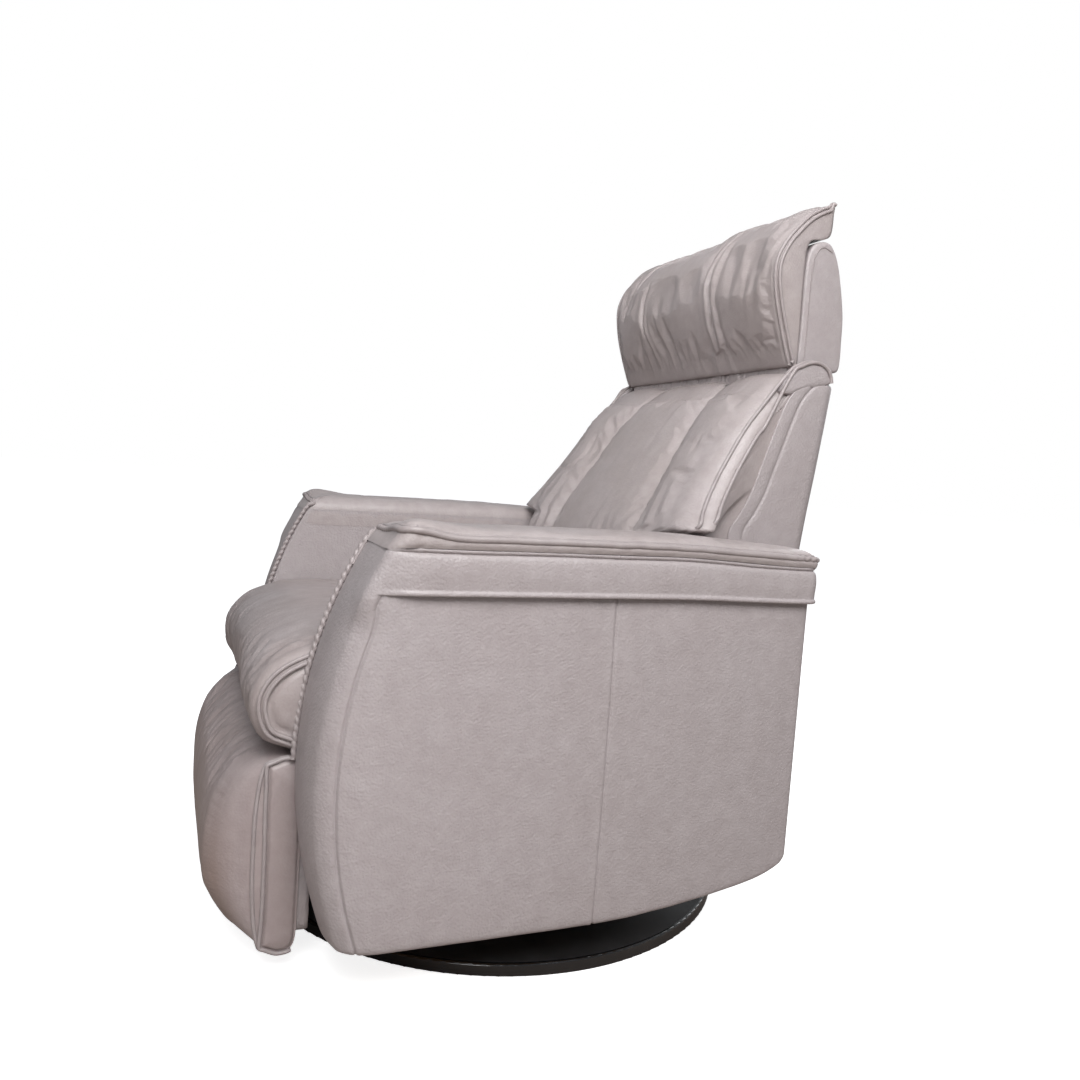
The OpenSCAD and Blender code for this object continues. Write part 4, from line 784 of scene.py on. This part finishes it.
rest_grid, rest_ring, _ = cushion_grid(REST, 200, 282, 62, 96, rest_shape, lambda p, n: 0.02, rest_pull)
rest = cushion("footrest_cushion", "footrest", HIDE_REST, "footrest_pad", rest_grid,
               ((-382, 52), (-380, 255)), 5.0, dip=3.0)
settle(rest, 5, rest_held)
loops_on(rest_grid, [(1, 1.6, 0.0), (0, 1.6, 1.0)], 2.8, "footrest_piping", "footrest",
         span=[i for i in range(len(rest_ring)) if rest_ring[i, 0] < -364])


def board_wrap():
    """Leather that goes round the edges of the board behind the footrest pad."""
    hw, low, high, r = 277.0, 46.0, 270.0, 14.0
    around = 240
    edge = arc(hw - r, high - r, r, 0, 90, 6) + arc(r - hw, high - r, r, 90, 180, 6)
    edge += arc(r - hw, low + r, r, 180, 270, 6) + arc(hw - r, low + r, r, 270, 360, 6)
    edge = resample(arr(edge), around, True)
    rows = []
    for y, inset in ((-360, 0), (-350, -0.5), (-345, 0.5), (-343.2, 3), (-343, 9), (-343.4, 30)):
        loop = edge * (1 - inset / 150) if inset > 5 else edge * (1 - inset / 270)
        wave = 0.6 * noise(edge[:, 0] / 12, edge[:, 1] / 12 + y, 51)
        rows.append(np.column_stack([loop[:, 0], y + wave * (inset > 1), loop[:, 1] + 2]))
    piece("footrest_wrap", arr(rows), grid_faces(len(rows), around, False, True), PANEL, "footrest",
          flip=True)


board_wrap()


# Back cushion: a middle panel between two bolsters that end in pointed ears above the arms
BACK = placed([(0.43, 0.02), (0.6, 0.28), (0.72, 0.52), (0.83, 0.76), (0.92, 0.975), (0.86, 1), (0.72, 0.945),
               (0.55, 0.84), (0.39, 0.705), (0.23, 0.565), (0.1, 0.434), (0.03, 0.31), (0, 0.19),
               (0.02, 0.09), (0.1, 0.02), (0.25, 0)], 128, 385, 250, 456)
# By height: how far the ears reach out, and where the seams beside the middle panel are
EAR = arr([(560, 0), (588, 0), (596, 54), (612, 44), (640, 28), (680, 14), (730, 6), (800, 0), (860, 0)])
SEAM = arr([(385, 158), (600, 156), (640, 149), (680, 140), (720, 133), (760, 126), (800, 115), (840, 104)])
# Upright folds of a bolster near its ear: place, height and width
FOLDS = ((172, 3.0, 6), (185, -2.4, 5), (198, 2.8, 6), (212, -2.0, 6), (226, 1.4, 6))


def seam_at(z):
    return np.interp(z, SEAM[:, 0], SEAM[:, 1])


def back_face(n):
    """How much each point belongs to the front of the back cushion."""
    return np.clip(-0.86 * n[:, 0] + 0.5 * n[:, 1], 0, 1)


def back_shape(x, s, p, n):
    """Seam grooves, the crown of the middle panel and the bolsters, and upright folds."""
    w = back_face(n)
    z = p[:, 1]
    seam = seam_at(z)
    groove = -4.5 * bell(abs(x), seam, 6) - 2.0 * bell(abs(x), seam, 20)
    middle = 8.0 * (1 - np.minimum(abs(x) / seam, 1) ** 2)
    bolster = 10.0 * np.sin(math.pi * np.clip((abs(x) - seam) / (283 - seam), 0, 1)) ** 0.8
    bent = x + 14 * noise(z / 80, x / 90, 26)
    patch = np.clip(0.4 + 1.1 * noise(x / 70, z / 80, 27), 0, 1.3)
    lines = (1.9 * noise(bent / 20, z / 110, 14) + 0.9 * noise(bent / 8, z / 70, 15)) * patch
    folds = 0.0
    for place, height, width in FOLDS:
        folds = folds + height * bell(abs(x) + 0.1 * (z - 580), place, width) * bell(z, 590, 55)
    soft = 1.4 * noise(x / 70, z / 80, 16)
    top_drop = 4 * np.clip(2 * n[:, 1] - 1, 0, 1) * (z > 800)
    return (groove + middle + bolster + lines + folds + soft) * w - top_drop


def back_round(ring, n):
    return np.clip(back_face(n) * 1.6, 0, 1)


def back_held(p, n):
    x, z = np.abs(p[:, 0]), p[:, 2]
    return np.maximum.reduce([1 + 1.7 * n[:, 1] - n[:, 2], bell(x, seam_at(z), 9) * 1.4,
                              step(246, 258, x), step(460, 440, z), step(800, 822, z)])


back_grid, back_ring, back_n = cushion_grid(BACK, 240, 281, 34, 130, back_shape, back_round)
flare = np.interp(back_grid[:, :, 2], EAR[:, 0], EAR[:, 1]) * step(150, 281, np.abs(back_grid[:, :, 0]))
flare *= back_face(back_n)[None, :] ** 0.5
back_grid[:, :, 0] += np.sign(back_grid[:, :, 0]) * flare
back_grid[:, :, 1] -= 0.12 * flare
back = cushion("back_pad", "back", HIDE, "back_cushion", back_grid, 0, 0.6, 3.0)
settle(back, 4.5, back_held)

# Side outline of the corners that rise behind the piping at the top of the back
HORN = [(318, 812), (333, 838), (352, 853), (374, 860), (393, 856), (404, 845), (408, 832), (392, 826),
        (360, 818), (336, 808)]


def back_piping():
    """Two lines of piping on each side, from the ears up the bolsters and over the horns to the rear."""
    keep = (back_face(back_n) > 0.12) & (back_ring[:, 1] > 560) & (back_ring[:, 1] < 790)
    parts = []
    for side in (-1, 1):
        for row, shift, top_x, lift in ((0, 1.0, 286.0, 0.0), (3, 0.0, 275.0, 2.0)):
            ring = back_grid[row if side < 0 else len(back_grid) - 1 - row]
            line = ring.copy()
            line[:, 1:] += outward(ring[:, 1:]) * 2.0
            line[:, 0] += side * shift
            over = [(side * top_x, y, z + lift) for y, z in HORN[6:0:-1]]
            parts.append(tube(smooth(np.vstack([over, line[keep][3::5]]), 420), 3.0))
    points, faces = joined(parts)
    piece("back_piping", points, faces, TRIM, "back")


def back_horn(name, side):
    """The corner of the back cushion that rises behind the piping, gathered on its outer side."""
    def shape(x, s, p, n):
        return 0.8 * noise(s * 46, x / 9, 35) * (1 - abs(x) / 16)

    grid = cushion_grid(HORN, 150, 8, 4, 7, shape)[0]
    grid[:, :, 0] = side * (277.5 + grid[:, :, 0])
    cushion(name, "back", PANEL, None, grid, ((340, 818), (398, 842)), 1.2 * side)


back_piping()
back_horn("back_horn_left", 1)
back_horn("back_horn_right", -1)


def back_top():
    """The strip across the top of the back, behind the cushion and below the headrest."""
    rows = []
    t = np.linspace(0, 1, 18)
    y = np.linspace(338, 399, 18)
    for x in np.linspace(-281, 281, 160):
        z = 834.5 + 3.5 * np.sin(math.pi * t) ** 0.6 + 0.9 * noise(x / 9, y / 20, 33)
        rows.append(np.stack([np.full(18, x), y, z - 6 * step(268, 281, abs(x)) * t], 1))
    piece("back_top_strip", arr(rows), grid_faces(160, 18), PANEL, "back")


back_top()

# Outside back: a wall that wraps round the rear and both sides. Its front edge is given by height
SHELL_LOW, SHELL_TOP = 330, 834
SHELL_FRONT = smooth([(330, 310), (380, 282), (430, 264), (500, 262), (560, 248), (596, 245), (623, 262),
                      (656, 279), (691, 291), (726, 303), (761, 315), (800, 331), (834, 360)], 90)
TURN_IN = ((824, 828, 831.5, 833.5, SHELL_TOP), (0, 1.2, 4, 8.5, 14))


def shell_loop(z, inset):
    """Plan of the outside back at a height, from one front edge round the rear to the other."""
    rear = 357 + (425 - 357) * (z - SHELL_LOW) / (SHELL_TOP - SHELL_LOW) - inset
    f = np.interp(z, SHELL_FRONT[:, 0], SHELL_FRONT[:, 1])
    hw = 285.5 - inset
    r = 26
    far = rear - r
    fit = min(1.0, (far - f) / 44)
    half = [(hw, f + v * fit) for v in (0, 2, 5, 9, 14, 20, 23, 25, 27, 30, 36)]
    half += [(hw, f + 36 * fit + (far - f - 36 * fit) * t) for t in (0.33, 0.66, 1.0)]
    half += arc(hw - r, rear - r, r, 10, 90, 8)
    half += [(x, rear) for x in np.linspace(hw - 30, 0, 14)]
    return arr(half + [(-x, y) for x, y in half[::-1][1:]])


def back_cover():
    """The outside back with its seams, a thickness inward and a lid that turns in at the top."""
    outer, inner = [], []
    for z in np.r_[np.linspace(SHELL_LOW, TURN_IN[0][0], 50), TURN_IN[0][1:]]:
        loop = shell_loop(z, float(np.interp(z, *TURN_IN)))
        n = normals_2d(loop, closed=False)
        behind = loop[:, 1] - np.interp(z, SHELL_FRONT[:, 0], SHELL_FRONT[:, 1])
        side = (np.abs(loop[:, 0]) > 276) * 1.0
        rise = np.clip((z - SHELL_LOW) / (SHELL_TOP - SHELL_LOW), 0, 1)
        soft = 1.3 * np.sin(math.pi * rise) * (1 - side) * bell(loop[:, 0], 0, 200)
        d = -2.4 * bell(behind, 25, 2.0) * side + 0.6 * bell(behind, 12, 8) * side
        d = d + 0.6 * noise(loop[:, 1] / 50, z / 70, 17)
        d = d - 1.4 * bell(loop[:, 0], 0, 2.0) * (1 - side) + soft
        outer.append(np.column_stack([loop + n * d[:, None], np.full(len(loop), z)]))
        inner.append(np.column_stack([loop * [1 - 6 / 283, 1], np.full(len(loop), z - 1.5)]))
    outer, inner = arr(outer), arr(inner)
    inner[:, :, 1] -= 6 * (np.abs(inner[:, :, 0]) < 262)
    ring = np.concatenate([outer, inner[:, ::-1]], 1)
    rows, around = ring.shape[:2]
    faces = grid_faces(rows, around, False, True)
    for first in (0, (rows - 1) * around):
        last = first + around - 1
        faces += [[first + i, first + i + 1, last - 1 - i, last - i] for i in range(around // 2 - 1)]
    lid_rows = 8
    edge = outer[-1]
    k = len(edge) // 2
    lid = np.array([edge[:k + 1] * (1 - t) + edge[::-1][:k + 1] * t for t in np.linspace(0, 1, lid_rows)])
    lid[:, :, 2] = SHELL_TOP - 0.2
    points, faces = joined([(ring, faces), (lid, grid_faces(lid_rows, k + 1))])
    obj = piece("outside_back", points, faces, PANEL, "back", solid=True)
    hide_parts("back_shell")


back_cover()

# Headrest: a pillow that wraps over the top, the shell behind it and the gathered gusset below
PILLOW = placed([(0.5, -0.008), (0.555, 0.02), (0.56, 0.3), (0.56, 0.6), (0.57, 0.71), (0.66, 0.765),
                 (0.88, 0.782), (0.99, 0.82), (1.01, 0.93), (0.98, 1), (0.6, 0.93), (0.3, 0.82), (0.12, 0.72),
                 (0.01, 0.59), (0.05, 0.42), (0.18, 0.24), (0.34, 0.07), (0.43, -0.003)], 300, 856, 100, 250)
HEAD_SHELL = placed([(0.46, 0), (0.86, 0), (0.99, 0.05), (1, 0.25), (0.96, 0.49), (0.78, 0.82), (0.56, 0.985),
                     (0.3, 1), (0.1, 0.94), (0, 0.8), (0, 0.4), (0, 0.04), (0.1, 0.01)], 358.5, 852, 82, 196)


def pillow_face(n):
    """How much each point belongs to the front of the headrest."""
    return np.clip(-n[:, 0] + 0.25 * n[:, 1], 0, 1)


def pillow_shape(x, s, p, n):
    """Crown, wavy upright folds and one strong pair of ridges."""
    q = abs(x) / 265
    w = pillow_face(n)
    z = p[:, 1]
    crown = 5.0 * (1 - q * q)
    line = x + 13 * np.sin((z - 860) / 250 * math.pi)
    bent = line + 12 * noise(z / 75, x / 90, 24)
    patch = np.clip(0.35 + 1.1 * noise(x / 65, z / 70, 25), 0, 1.3)
    lines = (2.3 * noise(bent / 19, z / 120, 19) + 1.0 * noise(bent / 8, z / 80, 20)) * patch
    ridge = 3.0 * bell(line, 96, 5) - 2.6 * bell(line, 107, 5) + 2.8 * bell(line, 119, 6)
    ridge = (ridge - 1.6 * bell(line, 131, 6)) * step(1090, 1040, z) * step(880, 930, z)
    soft = 1.5 * noise(x / 75, z / 70, 21)
    return (crown + lines + ridge + soft) * w


def pillow_round(ring, n):
    return np.clip(pillow_face(n) * 1.8, 0, 1)


def pillow_held(p, n):
    x, z = np.abs(p[:, 0]), p[:, 2]
    return np.maximum.reduce([1 + 1.6 * n[:, 1] - 0.5 * n[:, 2], step(246, 256, x), step(890, 872, z)])


def head_shell_shape(x, s, p, n):
    """Soft unevenness and a seam down the middle of the rear."""
    return 0.6 * noise(x / 60, p[:, 1] / 50, 22) - 1.2 * bell(x, 0, 2.0) * (n[:, 0] > 0.3)


pillow_grid, pillow_ring, pillow_n = cushion_grid(PILLOW, 220, 264, 12, 120, pillow_shape, pillow_round)
pillow = cushion("headrest_pad", "headrest", HIDE, "headrest_pillow", pillow_grid,
                 0, 1.5)
settle(pillow, 6, pillow_held)
piped = (pillow_face(pillow_n) > 0.05) | ((pillow_ring[:, 1] > 1075) & (pillow_n[:, 1] > 0.5))
loops_on(pillow_grid, [(3, 1.6, 0.0), (0, 1.6, 1.0)], 2.8, "headrest_piping", "headrest", span=piped)
shell_grid = cushion_grid(HEAD_SHELL, 150, 264, 5, 60, head_shell_shape)[0]
cushion("headrest_cover", "headrest", PANEL, "headrest_shell", shell_grid, 0, 1.2)


def headrest_seam():
    """The fine raised seam down each side of the headrest's shell."""
    line = [(368, 857), (369, 900), (369, 950), (369.5, 1000), (374, 1026), (386, 1039), (404, 1034)]
    line = smooth(line, 220)
    parts = []
    for side in (-1, 1):
        path = np.column_stack([np.full(len(line), side * 265.0), line])
        parts.append(tube(path, 0.9, 6, bumps=lambda d, a: 1 + 0.25 * math.sin(d * 1.6)))
    points, faces = joined(parts)
    piece("headrest_seam", points, faces, TRIM, "headrest")


headrest_seam()


def neck_gusset():
    """The gathered band between the back and the headrest, closed round the neck."""
    hw, front, rear, r = 256.0, 349.0, 422.0, 16.0
    low, high = 830, 861
    around = 900
    loop = arc(hw - r, rear - r, r, 0, 90, 8) + arc(r - hw, rear - r, r, 90, 180, 8)
    loop += arc(r - hw, front + r, r, 180, 270, 8) + arc(hw - r, front + r, r, 270, 360, 8)
    loop = resample(arr(loop), around, True)
    out = normals_2d(loop)
    heights = np.linspace(low, high, 12)
    rows = []
    for inset, upward in ((0.0, heights), (2.5, heights[::-1])):
        for z in upward:
            t = (z - low) / (high - low)
            pleat = 1.3 * noise(np.arange(around) / 4.5, t * 1.5, 36) + 2.4 * math.sin(math.pi * t)
            rows.append(np.column_stack([loop + out * (pleat - inset)[:, None], np.full(around, z)]))
    faces = grid_faces(len(rows), around, True, True)
    obj = piece("neck_gusset", arr(rows), faces, TRIM, None, solid=True)
    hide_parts("headrest_gusset")
    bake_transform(obj)


neck_gusset()


# Floor, light and camera
def floor():
    """A pale floor that the camera sees nearly white, and that keeps the object's shadow."""
    m, n, l, shader = new_material("floor")
    fill(shader, Roughness=0.9, Specular_IOR_Level=0.1)
    glow = fill(n.new("ShaderNodeEmission"), Color=(1, 1, 1, 1))
    rays = n.new("ShaderNodeLightPath")
    seen = n.new("ShaderNodeMath")
    seen.operation = "MULTIPLY"
    l.new(rays.outputs["Is Camera Ray"], seen.inputs[0])
    seen.inputs[1].default_value = 0.8
    l.new(add_mix(n, l, rays.outputs["Is Camera Ray"], (0.36, 0.31, 0.28, 1), (0.86, 0.86, 0.86, 1)),
          shader.inputs["Base Color"])
    l.new(seen.outputs[0], glow.inputs["Strength"])
    both = n.new("ShaderNodeAddShader")
    l.new(shader.outputs[0], both.inputs[0])
    l.new(glow.outputs[0], both.inputs[1])
    l.new(both.outputs[0], n["Material Output"].inputs["Surface"])
    mesh = bpy.data.meshes.new("floor")
    mesh.from_pydata([(-30, -30, 0), (30, -30, 0), (30, 30, 0), (-30, 30, 0)], [], [(0, 1, 2, 3)])
    mesh.materials.append(m)
    obj = bpy.data.objects.new("floor", mesh)
    scene.collection.objects.link(obj)


floor()
world = bpy.data.worlds.new("studio")
scene.world = world
world.use_nodes = True
wn, wl = world.node_tree.nodes, world.node_tree.links
ambient = fill(wn["Background"], Color=(0.93, 0.96, 1.0, 1), Strength=0.31)
white = fill(wn.new("ShaderNodeBackground"), Color=(1, 1, 1, 1), Strength=1.0)
rays = wn.new("ShaderNodeLightPath")
mixed = wn.new("ShaderNodeMixShader")
wl.new(rays.outputs["Is Camera Ray"], mixed.inputs[0])
wl.new(ambient.outputs[0], mixed.inputs[1])
wl.new(white.outputs[0], mixed.inputs[2])
wl.new(mixed.outputs[0], wn["World Output"].inputs["Surface"])


def softbox(name, at, target, size, power, colour, spread=180):
    lamp = bpy.data.lights.new(name, "AREA")
    lamp.shape = "RECTANGLE"
    lamp.size, lamp.size_y = size
    lamp.energy = power
    lamp.spread = math.radians(spread)
    lamp.color = colour
    obj = bpy.data.objects.new(name, lamp)
    obj.location = at
    obj.rotation_euler = (Vector(target) - Vector(at)).to_track_quat("-Z", "Y").to_euler()
    obj.visible_camera = False
    scene.collection.objects.link(obj)


softbox("key", (1.95, -0.45, 2.25), (0, 0, 0.78), (1.7, 1.4), 79, (1, 1, 0.995))
softbox("low", (2.2, -0.75, 0.45), (0.28, -0.42, 0.22), (0.6, 0.5), 0.22, (0.98, 0.99, 1), 30)
softbox("front", (1.1, -2.3, 1.7), (0, 0.3, 1.15), (0.9, 0.9), 1.7, (0.97, 0.985, 1), 40)
softbox("top", (0.4, 0.5, 3.0), (0, 0, 0.5), (2.0, 2.0), 9, (0.97, 0.98, 1))
softbox("rear", (-1.5, 2.6, 1.7), (0, 0, 0.6), (1.6, 1.6), 20, (0.97, 0.98, 1))

# The camera as fitted to the photo: its place in metres, the way it looks and its focal length in pixels
CAMERA_AT = (1.40981627, -0.52490425, 0.66318839)
AZIMUTH, PITCH, ROLL = (math.radians(v) for v in (67.52218, 4.28817, 4.00892))
FOCAL, PHOTO_WIDTH, SENSOR = 892.2051836, 1080, 36

cam_data = bpy.data.cameras.new("camera")
cam_data.sensor_width = SENSOR
cam_data.lens = FOCAL / PHOTO_WIDTH * SENSOR
cam_data.clip_end = 200
cam = bpy.data.objects.new("camera", cam_data)
look = Vector((-math.sin(AZIMUTH) * math.cos(PITCH), math.cos(AZIMUTH) * math.cos(PITCH), -math.sin(PITCH)))
right = Vector((math.cos(AZIMUTH), math.sin(AZIMUTH), 0))
above = right.cross(look)
cam_x = math.cos(ROLL) * right + math.sin(ROLL) * above
cam_y = -math.sin(ROLL) * right + math.cos(ROLL) * above
turned = Matrix((cam_x, cam_y, -look)).transposed().to_4x4()
cam.matrix_world = Matrix.Translation(Vector(CAMERA_AT)) @ turned
scene.collection.objects.link(cam)
scene.camera = cam
scene.view_settings.view_transform = "Standard"
